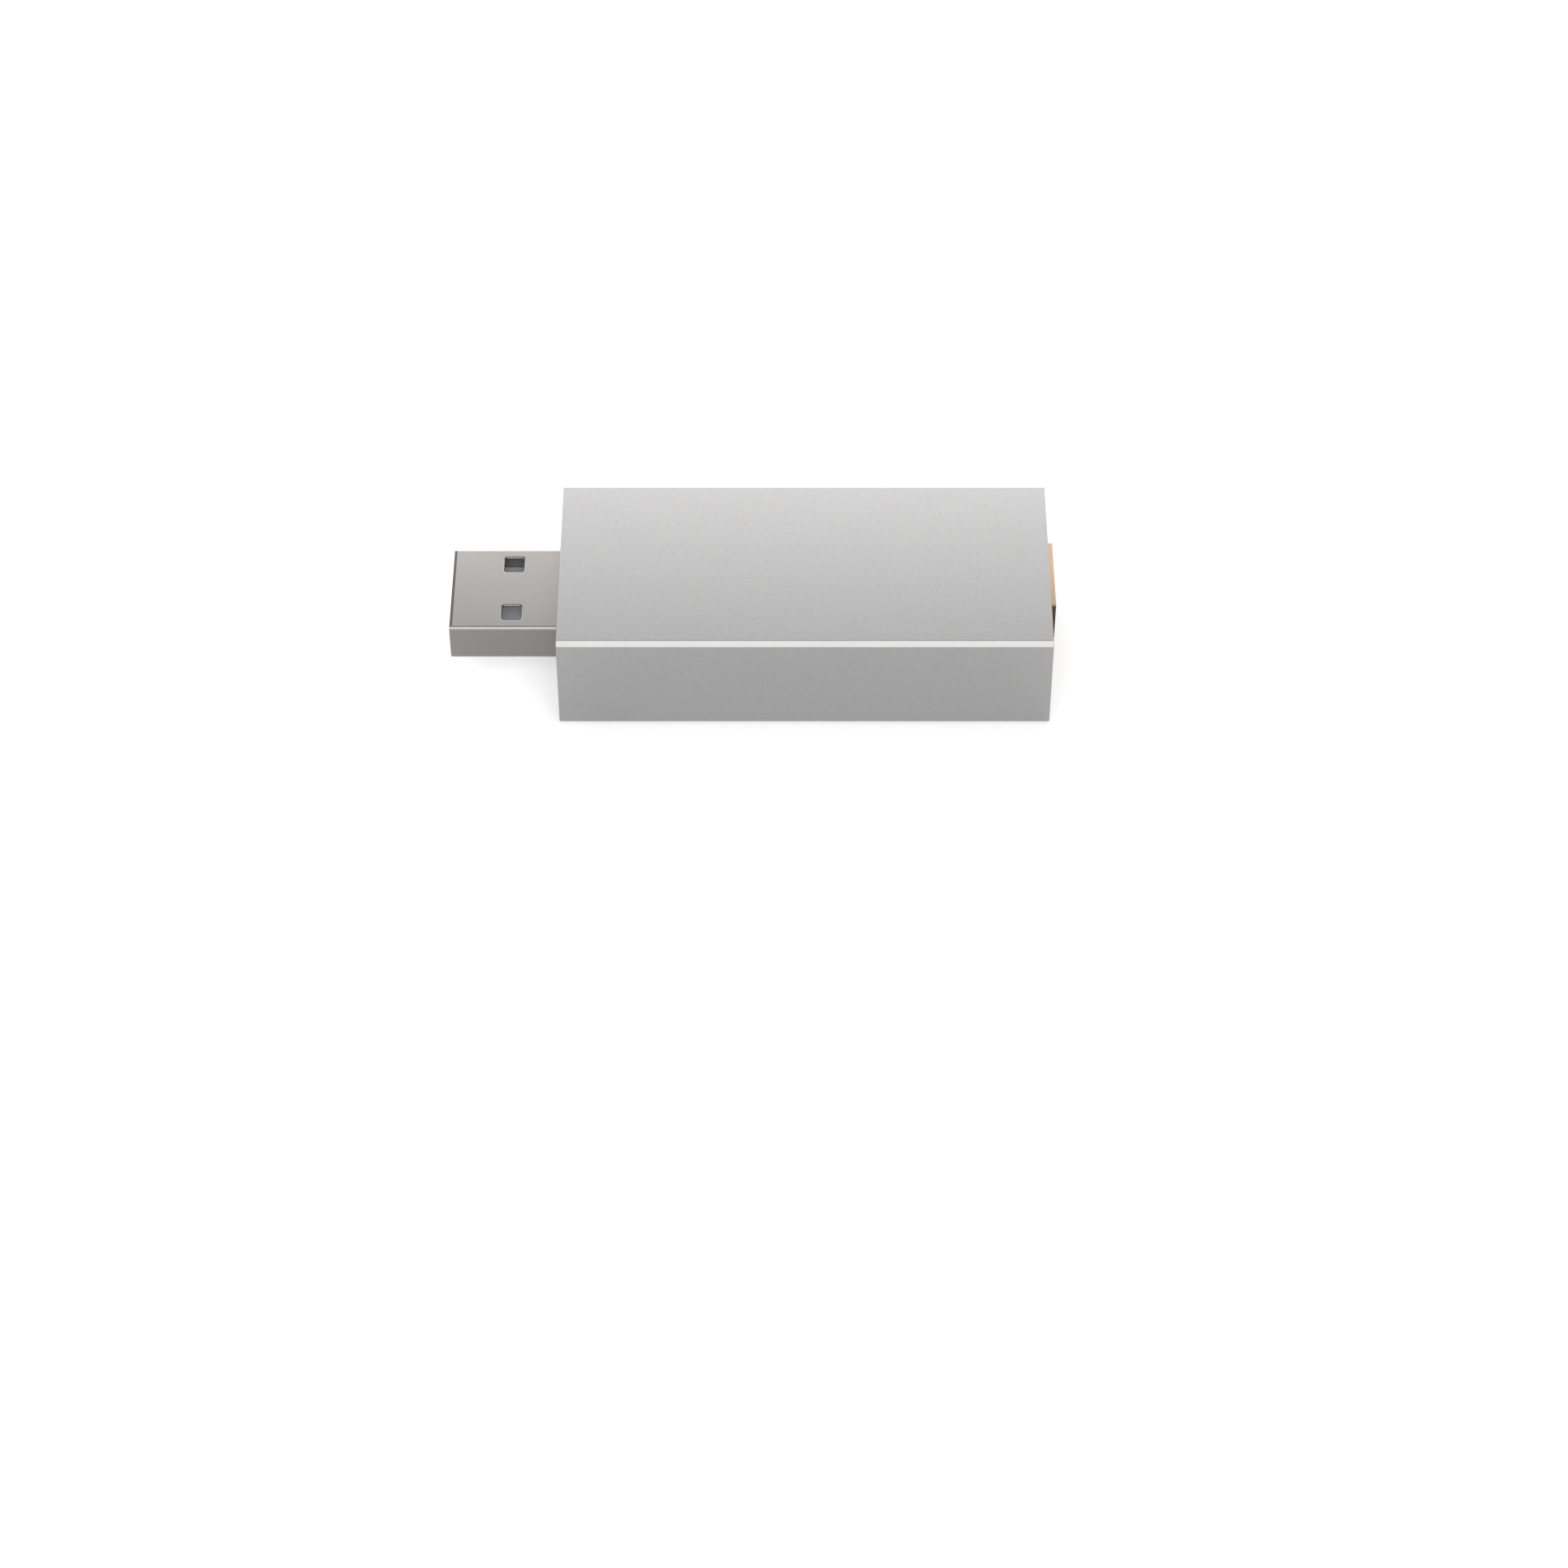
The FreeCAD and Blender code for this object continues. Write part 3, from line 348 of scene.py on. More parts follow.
def apply_modifier(piece, kind, **settings):
    """Adds a modifier with its settings and applies it."""
    use_only(piece)
    modifier = piece.modifiers.new(kind.lower(), kind)
    for name, setting in settings.items():
        setattr(modifier, name, setting)
    bpy.ops.object.modifier_apply(modifier=modifier.name)


# %% [markdown]
# A maker starts from a blank: a block, a rod, or the section that a die gives. Each of them is one primitive here,
# sized in object mode, where a length is easy to say. Its place, turn and size are then moved into its mesh.


# %% Blanks to start from
def settle(name):
    """Names the new primitive and moves its place, turn and size into its mesh."""
    piece = bpy.context.object
    use_only(piece)
    piece.name = piece.data.name = name
    bpy.ops.object.transform_apply(location=True, rotation=True, scale=True)
    return piece


def add_block(name, low_mm, high_mm):
    """A cube primitive stretched between two corners."""
    low, high = Vector(low_mm) * MM, Vector(high_mm) * MM
    bpy.ops.mesh.primitive_cube_add(size=1, location=(low + high) / 2)
    bpy.context.object.scale = high - low
    return settle(name)


def add_side_block(name, side, x_mm, y_mm, z_mm):
    """A block on the far side, 1, or the near side, -1, from three spans, with y counted from the middle."""
    y_mm = sorted(side * y for y in y_mm)
    return add_block(name, *zip(x_mm, y_mm, z_mm))


def add_rod(name, diameter_mm, start_mm, end_mm, centre_mm, end_diameter_mm=None, corners=64):
    """A rod or a cone along X, round a line that passes through centre_mm, its y and z."""
    tail = diameter_mm if end_diameter_mm is None else end_diameter_mm
    place = Vector(((start_mm + end_mm) / 2, *centre_mm)) * MM
    bpy.ops.mesh.primitive_cone_add(
        vertices=corners, radius1=diameter_mm / 2 * MM, radius2=tail / 2 * MM,
        depth=(end_mm - start_mm) * MM, location=place, rotation=(0, math.pi / 2, 0))
    return settle(name)


def add_section(name, x_mm, width_mm, height_mm, corner_mm, steps):
    """A rectangle across X, round the stick's middle line, with its corners cut or rounded."""
    bpy.ops.mesh.primitive_plane_add(
        size=1, location=(x_mm * MM, 0, MIDDLE_Z * MM), rotation=(math.pi / 2, 0, math.pi / 2))
    bpy.context.object.scale = (width_mm * MM, height_mm * MM, 1)
    section = settle(name)
    start_shaping(section)
    bpy.ops.mesh.select_all(action="SELECT")
    bpy.ops.mesh.bevel(offset=corner_mm * MM, offset_type="OFFSET", segments=steps, affect="VERTICES")
    stop_shaping()
    return section


def extrude_along_x(piece, length_mm):
    """Pulls everything in the piece along X, as a die or a press would."""
    start_shaping(piece)
    bpy.ops.mesh.select_all(action="SELECT")
    bpy.ops.mesh.extrude_region_move(TRANSFORM_OT_translate={"value": (length_mm * MM, 0, 0)})
    stop_shaping()


# %% [markdown]
# Holes are made with cutters, as on a mill, and the exact boolean solver keeps their walls closed. Last come the
# same three steps for every piece: doubles are merged, edges are broken, and the shading is made smooth on curves
# and crisp on flats.

# %% Cutting, joining and finishing
MERGE_MM = 0.0005
SMOOTH_BELOW = math.radians(40)


def combine(piece, operation, *others):
    """Cuts the other pieces out of the first, or joins them to it, and removes them."""
    for other in others:
        apply_modifier(piece, "BOOLEAN", operation=operation, solver="EXACT", object=other)
        bpy.data.objects.remove(other)


def face_outwards(piece):
    """Merges doubles and turns every face outwards."""
    start_shaping(piece)
    bpy.ops.mesh.select_all(action="SELECT")
    bpy.ops.mesh.remove_doubles(threshold=MERGE_MM * MM)
    bpy.ops.mesh.normals_make_consistent(inside=False)
    stop_shaping()


def break_edges(piece, width_mm, steps=2, sharper_than=35):
    """Rounds every edge that turns by more than an angle, as deburring does."""
    face_outwards(piece)
    apply_modifier(piece, "BEVEL", width=width_mm * MM, segments=steps, limit_method="ANGLE",
                   angle_limit=math.radians(sharper_than), use_clamp_overlap=True)


def finish_piece(piece, node, *materials):
    """Gives a piece its finish, smooth curves and crisp flats, and lets it stand for its CAD node."""
    face_outwards(piece)
    for material in materials:
        piece.data.materials.append(material)
    use_only(piece)
    bpy.ops.object.shade_smooth_by_angle(angle=SMOOTH_BELOW)
    apply_modifier(piece, "WEIGHTED_NORMAL", keep_sharp=True)
    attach(piece, "root")
    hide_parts(node)
    print(piece.name, "faces:", len(piece.data.polygons))


# %% [markdown]
# ## The housing sleeve
#
# The real one is pushed through a die as an endless tube, sawn to length, blasted with beads, anodised, and its
# long edges are then cut bright. It could be a cube with a hole cut in it. Here two flat loops are bridged to the
# tube's section, and one extrusion makes the tube, which is the way of the factory and leaves clean long faces.

# %% Sleeve
BRIGHT_CHAMFER, BORE_CORNER = 0.5, 0.6

sleeve = add_section("sleeve", HOUSING_START, HOUSING_WIDTH, HOUSING_HEIGHT, BRIGHT_CHAMFER, steps=1)
bore = add_section("sleeve_bore", HOUSING_START, HOUSING_WIDTH - 2 * HOUSING_WALL,
                   HOUSING_HEIGHT - 2 * HOUSING_WALL, BORE_CORNER, steps=6)
use_only(sleeve, bore)
bpy.ops.object.join()
start_shaping(sleeve)
bpy.ops.mesh.select_all(action="SELECT")
bpy.ops.mesh.delete(type="ONLY_FACE")
bpy.ops.mesh.select_all(action="SELECT")
bpy.ops.mesh.bridge_edge_loops()
stop_shaping()
extrude_along_x(sleeve, HOUSING_END - HOUSING_START)
print("sleeve faces:", len(sleeve.data.polygons))

# %% [markdown]
# Inside run two rails with a screw channel each, and two ribs on which the circuit board lies, under the rails. On
# the real sleeve they are part of the die's section and are milled back at the ends, where the plates sit. Here
# they are blocks that bite a little into the wall, so that the join is one closed solid of the right length.

# %% Rails and ribs inside the sleeve
INSIDE_X = (HOUSING_START + PLATE_THICKNESS, HOUSING_END - PLATE_THICKNESS)
WALL_BITE = 0.15
WALL_Y = HOUSING_WIDTH / 2 - HOUSING_WALL + WALL_BITE
RAIL_Y, RAIL_Z = 8.0, (5.385, 8.085)
RIB_Y, RIB_Z = 10.0, (3.485, 4.285)
CHANNEL_WIDTH = 1.5

for side in (-1, 1):
    rail = add_side_block("rail", side, INSIDE_X, (RAIL_Y, WALL_Y), RAIL_Z)
    channel = add_rod(
        "channel", CHANNEL_WIDTH, INSIDE_X[0] - PAST, INSIDE_X[1] + PAST, (side * SCREW_Y, SCREW_Z), corners=32)
    combine(rail, "DIFFERENCE", channel)
    rib = add_side_block("rib", side, INSIDE_X, (RIB_Y, WALL_Y), RIB_Z)
    combine(sleeve, "UNION", rail, rib)
print("with rails and ribs:", len(sleeve.data.polygons))

# %% [markdown]
# Every sharp edge is broken by 0.05 mm, as tumbling does. The four long chamfers are cut after anodising, so their
# faces alone take the bright finish. They are the only large faces that lean between the flats.

# %% Sleeve finish
break_edges(sleeve, width_mm=0.05)
finish_piece(sleeve, "housing_sleeve", blasted_aluminium, bright_cut_aluminium)
LEANING, LARGE = 0.5, 10 * MM**2
bright_faces = [face for face in sleeve.data.polygons
                if abs(face.normal.y) > LEANING and abs(face.normal.z) > LEANING and face.area > LARGE]
for face in bright_faces:
    face.material_index = 1
print("bright faces:", len(bright_faces))

# %% [markdown]
# ## The end plates
#
# Each end is closed by a plate let into the sleeve and held by two countersunk screws. It could be cut from a cube,
# but a rounded section that is extruded to the plate's thickness has its corners at once. Then the opening for the
# plug or the socket, and the cones for the screw heads, are cut out.

# %% End plates
PLATE_WIDTH, PLATE_HEIGHT, PLATE_CORNER = 21.9, 9.5, 0.55
CONE_WIDTHS, CONE_DEPTH, CLEARANCE_WIDTH = (2.8, 1.4), 0.6, 1.6


def end_plate(name, node, start, outer, opening):
    """A plate between start and start + its thickness, whose outer face is at x = outer."""
    plate = add_section(name, start, PLATE_WIDTH, PLATE_HEIGHT, PLATE_CORNER, steps=6)
    extrude_along_x(plate, PLATE_THICKNESS)
    inward = 1 if outer == start else -1
    low, high = sorted((outer - inward * PROUD, outer + inward * CONE_DEPTH))
    low_width, high_width = CONE_WIDTHS[::inward]
    cutters = []
    for side in (-1, 1):
        centre = (side * SCREW_Y, SCREW_Z)
        cutters.append(add_rod("countersink", low_width, low, high, centre, high_width))
        cutters.append(add_rod("clearance", CLEARANCE_WIDTH, start - PAST, start + PLATE_THICKNESS + PAST, centre))
    combine(plate, "DIFFERENCE", opening, *cutters)
    break_edges(plate, width_mm=0.05)
    finish_piece(plate, node, blasted_aluminium)


# %% [markdown]
# The plug's opening leaves 0.1 mm all round the shell. The socket's is a plain drilled hole for its barrel.

# %% Both plates with their openings
PLUG_GAP, OPENING_CORNER = 0.1, 0.4
SOCKET_HOLE, SOCKET_HOLE_DEPTH = 6.4, 3

plug_opening = add_section("plug_opening", HOUSING_START - PAST, PLUG_WIDTH + 2 * PLUG_GAP,
                           PLUG_HEIGHT + 2 * PLUG_GAP, OPENING_CORNER, steps=4)
extrude_along_x(plug_opening, PLATE_THICKNESS + 2 * PAST)
end_plate("plug_plate", "plug_end_plate", HOUSING_START, HOUSING_START, plug_opening)
socket_opening = add_rod(
    "socket_opening", SOCKET_HOLE, HOUSING_END - SOCKET_HOLE_DEPTH, HOUSING_END + PAST, (0, MIDDLE_Z))
end_plate("socket_plate", "jack_end_plate", HOUSING_END - PLATE_THICKNESS, HOUSING_END, socket_opening)

# %% [markdown]
# ## The screws
#
# A small countersunk screw is a cone on a rod. Its head is swept flat with the plate, with a cross pressed into
# it for the driver. It could be joined from three solids. Pulling the shank and the point out of the head's back
# face makes one closed mesh, and only the cross is cut.

# %% One screw
HEAD_WIDTH, SHANK_WIDTH = 2.5, 1.4
HEAD_HEIGHT, SHANK_LENGTH, POINT_LENGTH = 0.55, 4.1, 0.35
SCREW_LENGTH = HEAD_HEIGHT + SHANK_LENGTH + POINT_LENGTH
POINT_SHARE = 0.5

screw = add_rod("screw", HEAD_WIDTH, HOUSING_START, HOUSING_START + HEAD_HEIGHT, (0, SCREW_Z), SHANK_WIDTH,
                corners=48)
start_shaping(screw)
pick(screw, "FACE", lambda face: face.normal.x > FACING)
bpy.ops.mesh.extrude_region_move(TRANSFORM_OT_translate={"value": (SHANK_LENGTH * MM, 0, 0)})
bpy.ops.mesh.extrude_region_move(TRANSFORM_OT_translate={"value": (POINT_LENGTH * MM, 0, 0)})
bpy.ops.transform.resize(value=(1, POINT_SHARE, POINT_SHARE),
                         center_override=((HOUSING_START + SCREW_LENGTH) * MM, 0, SCREW_Z * MM))
stop_shaping()
print("screw length:", round(SCREW_LENGTH, 2), "mm")

# %% [markdown]
# The cross is two crossed bars that narrow downwards, as the driver's tip does.

# %% Cross in the head
CROSS_LENGTH, CROSS_WIDTH, CROSS_DEPTH = 1.3, 0.3, 0.4
CROSS_TAPER = 0.7

arms = []
for width, height in ((CROSS_LENGTH, CROSS_WIDTH), (CROSS_WIDTH, CROSS_LENGTH)):
    arm = add_block("arm", (HOUSING_START - PROUD, -width / 2, SCREW_Z - height / 2),
                    (HOUSING_START + CROSS_DEPTH, width / 2, SCREW_Z + height / 2))
    start_shaping(arm)
    pick(arm, "FACE", lambda face: face.normal.x > FACING)
    bpy.ops.transform.resize(value=(1, CROSS_TAPER, CROSS_TAPER),
                             center_override=((HOUSING_START + CROSS_DEPTH) * MM, 0, SCREW_Z * MM))
    stop_shaping()
    arms.append(arm)
combine(screw, "DIFFERENCE", *arms)
break_edges(screw, width_mm=0.03)
print("one screw, faces:", len(screw.data.polygons))

# %% [markdown]
# The four screws are alike, so the one screw is a pattern that is copied four times, each copy with its own mesh,
# and two are turned round for the socket's end. Linked copies would share one mesh, which has only one place.

# %% Four screws
screws = []
for end in (-1, 1):
    for side in (-1, 1):
        copy = screw.copy()
        copy.data = screw.data.copy()
        scene.collection.objects.link(copy)
        if end > 0:
            copy.rotation_euler = (0, 0, math.pi)
            copy.location = ((HOUSING_START + HOUSING_END) * MM, side * SCREW_Y * MM, 0)
        else:
            copy.location = (0, side * SCREW_Y * MM, 0)
        use_only(copy)
        bpy.ops.object.transform_apply(location=True, rotation=True, scale=True)
        screws.append(copy)
bpy.data.objects.remove(screw)
use_only(*screws)
bpy.ops.object.join()
screws[0].name = screws[0].data.name = "four_screws"
finish_piece(screws[0], "end_plate_screws", screw_nickel)

# %% [markdown]
# ## The plug's shell
#
# The shell is stamped from quarter-millimetre steel strip, folded round a mandrel and locked by a dovetail
# underneath, then plated with nickel. It could be a cut block. Sheet looks like sheet when it has one thickness
# everywhere, so a rounded outline is extruded as a skin first and given its thickness by Solidify.

# %% Folded tube
BEND = 0.30

shell = add_section("plug_shell", TIP_X, PLUG_WIDTH, PLUG_HEIGHT, BEND, steps=6)
extrude_along_x(shell, PLUG_END - TIP_X)
face_outwards(shell)
start_shaping(shell)
pick(shell, "FACE", lambda face: abs(face.normal.x) > FACING)
bpy.ops.mesh.delete(type="ONLY_FACE")
stop_shaping()
apply_modifier(shell, "SOLIDIFY", thickness=SHEET * MM, offset=-1, use_even_offset=True)
print("folded tube, faces:", len(shell.data.polygons))

# %% [markdown]
# The mouth's edge is coined to a slope along both broad sides, so that the plug finds its way into its socket. A
# bevel cuts both ways alike, so a small one is made first and then drawn out along the plug.

# %% Mouth
MOUTH_DEPTH, MOUTH_REACH = 0.12, 0.28

start_shaping(shell)
count = pick(shell, "EDGE", lambda edge: (
    middle(edge).x < TIP_X + TOUCH and abs(middle(edge).z - MIDDLE_Z) > PLUG_HEIGHT / 2 - HAIR))
bpy.ops.mesh.bevel(offset=MOUTH_DEPTH * MM, segments=1, affect="EDGES")
pick(shell, "VERT", lambda vertex: vertex.co.x < (TIP_X + MOUTH_DEPTH + TOUCH) * MM)
bpy.ops.transform.resize(value=(MOUTH_REACH / MOUTH_DEPTH, 1, 1), center_override=(TIP_X * MM, 0, 0))
stop_shaping()
print("mouth edges:", count)

# %% [markdown]
# Two windows in each broad side let the springs of that socket click in, and the punch drags their rims down into
# round edges. Each cutter goes through both sides, and the rims are then picked by their place and bevelled.

# %% Windows
WINDOW_START, WINDOW_END = -26.5, -24.5
WINDOW_Y, WINDOW_HALF, WINDOW_CORNER = 3.65, 1.05, 0.25
WINDOW_CUTTER_Z = (MIDDLE_Z - 3, MIDDLE_Z + 3)
RIM, NEAR = 0.2, 0.05

for side in (-1, 1):
    y_low, y_high = side * WINDOW_Y - WINDOW_HALF, side * WINDOW_Y + WINDOW_HALF
    window = add_block("window", (WINDOW_START, y_low, WINDOW_CUTTER_Z[0]), (WINDOW_END, y_high, WINDOW_CUTTER_Z[1]))
    start_shaping(window)
    pick(window, "EDGE", lambda edge: abs(edge.verts[0].co.z - edge.verts[1].co.z) > MM)
    bpy.ops.mesh.bevel(offset=WINDOW_CORNER * MM, segments=5, affect="EDGES")
    stop_shaping()
    combine(shell, "DIFFERENCE", window)
face_outwards(shell)
start_shaping(shell)
count = pick(shell, "EDGE", lambda edge: (
    WINDOW_START - NEAR < middle(edge).x < WINDOW_END + NEAR
    and abs(abs(middle(edge).y) - WINDOW_Y) < WINDOW_HALF + NEAR
    and abs(middle(edge).z - MIDDLE_Z) > PLUG_HEIGHT / 2 - TOUCH
    and len(edge.link_faces) == 2 and edge.calc_face_angle() > math.radians(45)))
bpy.ops.mesh.bevel(offset=RIM * MM, segments=5, affect="EDGES")
stop_shaping()
print("window rim edges:", count)

# %% [markdown]
# The strip's two ends meet under the plug in a dovetail, which stops the tube from springing open. The line could
# be painted on. A thin wall cut out along it gives a real gap, which catches the light as the real seam does. The
# wall is a flat curve, pulled up and made a mesh.

# %% Seam with its dovetail
SEAM_PATH = [(-33, 0), (-26, 0), (-26.25, 1.1), (-24.15, 1.1), (-24.4, 0), (-14, 0)]
SEAM_Z, SEAM_REACH, SEAM_WIDTH = 3.85, 0.4, 0.06

line = bpy.data.curves.new("seam", "CURVE")
line.dimensions = "2D"
line.extrude = SEAM_REACH * MM
points = line.splines.new("POLY").points
points.add(len(SEAM_PATH) - 1)
for point, (x, y) in zip(points, SEAM_PATH):
    point.co = (x * MM, y * MM, SEAM_Z * MM, 1)
seam = bpy.data.objects.new("seam", line)
scene.collection.objects.link(seam)
use_only(seam)
bpy.ops.object.convert(target="MESH")
apply_modifier(seam, "SOLIDIFY", thickness=SEAM_WIDTH * MM, offset=0, use_even_offset=True)
combine(shell, "DIFFERENCE", seam)
print("with its seam, faces:", len(shell.data.polygons))

# %% [markdown]
# Two ears of the same sheet lie on the board inside the housing and are soldered there. With them on, the shell is
# deburred and plated. Only its outer flats keep the plain plate colour: its bends are lighter as a painted highlight
# and its inside is lighter as painted light, and the slope at the mouth is cut steel, dark as a painted reflection.

# %% Ears and shell finish
EAR_X, EAR_Y, EAR_Z = (-18.4, -16.4), (5.8, 7.65), (5.335, 5.585)
COINED_LEAN, COINED_END = -0.2, TIP_X + 0.9 * MOUTH_REACH

for side in (-1, 1):
    ear = add_side_block("ear", side, EAR_X, EAR_Y, EAR_Z)
    combine(shell, "UNION", ear)
break_edges(shell, width_mm=0.05, steps=3)
finish_piece(shell, "usb_shell", nickel_plate, cut_steel_painted_reflection, nickel_painted_light)
# Faces off the outer flats, the bends and the inside, take the lighter plate: a painted highlight on the bends and
# painted light inside.
for face in shell.data.polygons:
    spot = face.center / MM
    on_broad_side = abs(spot.z - MIDDLE_Z) > PLUG_HEIGHT / 2 - SHEET + HAIR and abs(spot.y) < PLUG_WIDTH / 2 - BEND
    on_narrow_side = abs(spot.y) > PLUG_WIDTH / 2 - HAIR
    # The coined slope at the mouth takes the dark steel: a painted dark reflection.
    if face.normal.x < COINED_LEAN and spot.x < COINED_END:
        face.material_index = 1
    elif not on_broad_side and not on_narrow_side:
        face.material_index = 2

# %% [markdown]
# ## The tongue
#
# One moulding carries the contacts: a thick block that fills the shell's back half, and a tongue in the lower
# half of the mouth. It could be two blocks joined. It grows from one instead, so no seam is left between them: cut
# across, its back half raised, its nose bevelled.

# %% Tongue and block
TONGUE_START, TONGUE_SIDE, TONGUE_BOTTOM, TONGUE_TOP = -31.4, 5.72, 4.03, 5.88
BLOCK_START, BLOCK_TOP = -22.8, 7.97
NOSE_BEVEL = 0.35

tongue = add_block("tongue", (TONGUE_START, -TONGUE_SIDE, TONGUE_BOTTOM), (PLUG_END, TONGUE_SIDE, TONGUE_TOP))
start_shaping(tongue)
bpy.ops.mesh.select_all(action="SELECT")
bpy.ops.mesh.bisect(plane_co=(BLOCK_START * MM, 0, 0), plane_no=(1, 0, 0))
pick(tongue, "FACE", lambda face: face.normal.z > FACING and middle(face).x > BLOCK_START)
bpy.ops.mesh.extrude_region_move(TRANSFORM_OT_translate={"value": (0, 0, (BLOCK_TOP - TONGUE_TOP) * MM)})
pick(tongue, "EDGE", lambda edge: middle(edge).x < TONGUE_START + TOUCH and middle(edge).z > TONGUE_TOP - TOUCH)
bpy.ops.mesh.bevel(offset=NOSE_BEVEL * MM, segments=1, affect="EDGES")
stop_shaping()
print("tongue faces:", len(tongue.data.polygons))

# %% [markdown]
# Each contact is pressed into a groove of its own. The two outer ones start nearer to the tip, so that power
# meets before data when the stick is plugged in.

# %% Grooves for the contacts
OUTER_Y, OUTER_SPAN = 3.5, (-30.85, -23.78)
DATA_Y, DATA_SPAN = 1, (-29.85, -26.98)
GROOVE_HALF, GROOVE_Z = 0.52, (5.45, 6.75)

for offset, span in ((-OUTER_Y, OUTER_SPAN), (OUTER_Y, OUTER_SPAN), (-DATA_Y, DATA_SPAN), (DATA_Y, DATA_SPAN)):
    groove = add_block("groove", (span[0], offset - GROOVE_HALF, GROOVE_Z[0]),
                       (span[1], offset + GROOVE_HALF, GROOVE_Z[1]))
    combine(tongue, "DIFFERENCE", groove)
break_edges(tongue, width_mm=0.04)
finish_piece(tongue, "usb_insulator", tongue_plastic)

# %% [markdown]
# ## The antenna socket
#
# The socket is turned and milled from brass and plated with gold: a square flange against the plate, a barrel
# through it, and two legs astride the board. It is made in the order of the workshop: flange and barrel first,
# then the cuts of the mill between, above and inside the legs.

# %% Socket body
FLANGE_WIDTH, FLANGE_HEIGHT, FLANGE_CORNER = 9.6, 8.7, 0.12
BARREL_WIDTH, BARREL_START, BARREL_BITE = 6.2, 25.3, 0.2
LEGS_APART, LEGS_TOP, LEGS_END = 3, 6.335, 28.3
BOARD_SLOT_Z = (4.305, 5.365)
MILL_START, MILL_HALF = 24, 5
SOCKET_MIDDLE = (0, MIDDLE_Z)

body = add_section("socket_body", HOUSING_END, FLANGE_WIDTH, FLANGE_HEIGHT, FLANGE_CORNER, steps=3)
extrude_along_x(body, SOCKET_X - HOUSING_END)
barrel = add_rod("barrel", BARREL_WIDTH, BARREL_START, HOUSING_END + BARREL_BITE, SOCKET_MIDDLE, corners=96)
mills = [
    add_block("between_legs", (MILL_START, -LEGS_APART / 2, 0), (LEGS_END, LEGS_APART / 2, HOUSING_HEIGHT)),
    add_block("board_slot", (MILL_START, -MILL_HALF, BOARD_SLOT_Z[0]), (LEGS_END, MILL_HALF, BOARD_SLOT_Z[1])),
    add_block("above_legs", (MILL_START, -MILL_HALF, LEGS_TOP), (LEGS_END, MILL_HALF, HOUSING_HEIGHT)),
]
combine(barrel, "DIFFERENCE", *mills)
combine(body, "UNION", barrel)
print("socket body faces:", len(body.data.polygons))

# %% [markdown]
# The bore has three steps: a seat for the white ring, the wider bore for the antenna's sleeve, and a funnel at
# the mouth. Its cutter is drawn out of one rod, step by step. The flange's near and far sides are coloured dark
# brown: a painted shade, for the shaded table that they reflect.

# %% Stepped bore and socket finish
SEAT_WIDTH, SEAT_START, SEAT_END = 4.1, 27, 30
BORE_WIDTH, BORE_DEPTH, FUNNEL_WIDTH, FUNNEL_REACH = 4.6, 1.8, 5.2, 0.4

stepped_bore = add_rod("stepped_bore", SEAT_WIDTH, SEAT_START, SEAT_END, SOCKET_MIDDLE, corners=96)
start_shaping(stepped_bore)
pick(stepped_bore, "FACE", lambda face: face.normal.x > FACING)
last_width = SEAT_WIDTH
for pull, width in ((0, BORE_WIDTH), (BORE_DEPTH, BORE_WIDTH), (FUNNEL_REACH, FUNNEL_WIDTH)):
    bpy.ops.mesh.extrude_region_move(TRANSFORM_OT_translate={"value": (pull * MM, 0, 0)})
    bpy.ops.transform.resize(value=(1, width / last_width, width / last_width),
                             center_override=(0, 0, MIDDLE_Z * MM))
    last_width = width
stop_shaping()
combine(body, "DIFFERENCE", stepped_bore)
break_edges(body, width_mm=0.04)
finish_piece(body, "rf_jack_body", gold_brass, brass_painted_shade)
# The flange's near and far sides take the dark brown: painted shade.
for face in body.data.polygons:
    if abs(face.normal.y) > FACING and abs(face.center.y) > (FLANGE_WIDTH / 2 - FLANGE_CORNER) * MM:
        face.material_index = 1

# %% [markdown]
# In the bore sits a turned ring of fluoropolymer, which keeps the middle contact apart from the body. It is a rod
# with a hole, as it comes off the lathe.

# %% Ring
RING_WIDTH, RING_START, RING_HOLE = 4.06, 28.3, 1.31

ring = add_rod("socket_ring", RING_WIDTH, RING_START, SEAT_END, SOCKET_MIDDLE, corners=96)
combine(ring, "DIFFERENCE",
        add_rod("ring_hole", RING_HOLE, SEAT_START, SEAT_END + PAST, SOCKET_MIDDLE, corners=48))
break_edges(ring, width_mm=0.04)
finish_piece(ring, "rf_jack_insulator", fluoropolymer)

# %% [markdown]
# The middle contact is a pin drilled from the front and slit crosswise, so that its four fingers spring on the
# antenna's pin. Two thin blocks cut both slits.

# %% Centre contact
CONTACT_WIDTH, CONTACT_START = 1.27, 26.1
PIN_WIDTH, PIN_START = 0.94, 28.7
SLIT_HALF, SLIT_START, SLIT_REACH = 0.06, 28.8, 0.75

contact = add_rod("split_contact", CONTACT_WIDTH, CONTACT_START, SEAT_END, SOCKET_MIDDLE, corners=48)
combine(contact, "DIFFERENCE",
        add_rod("pin_hole", PIN_WIDTH, PIN_START, SEAT_END + PAST, SOCKET_MIDDLE, corners=48),
        add_block("slot_across", (SLIT_START, -1, MIDDLE_Z - SLIT_HALF), (SEAT_END + PAST, 1, MIDDLE_Z + SLIT_HALF)),
        add_block("slot_upright", (SLIT_START, -SLIT_HALF, MIDDLE_Z - SLIT_REACH),
                  (SEAT_END + PAST, SLIT_HALF, MIDDLE_Z + SLIT_REACH)))
break_edges(contact, width_mm=0.02)
finish_piece(contact, "rf_jack_centre_contact", contact_gold)

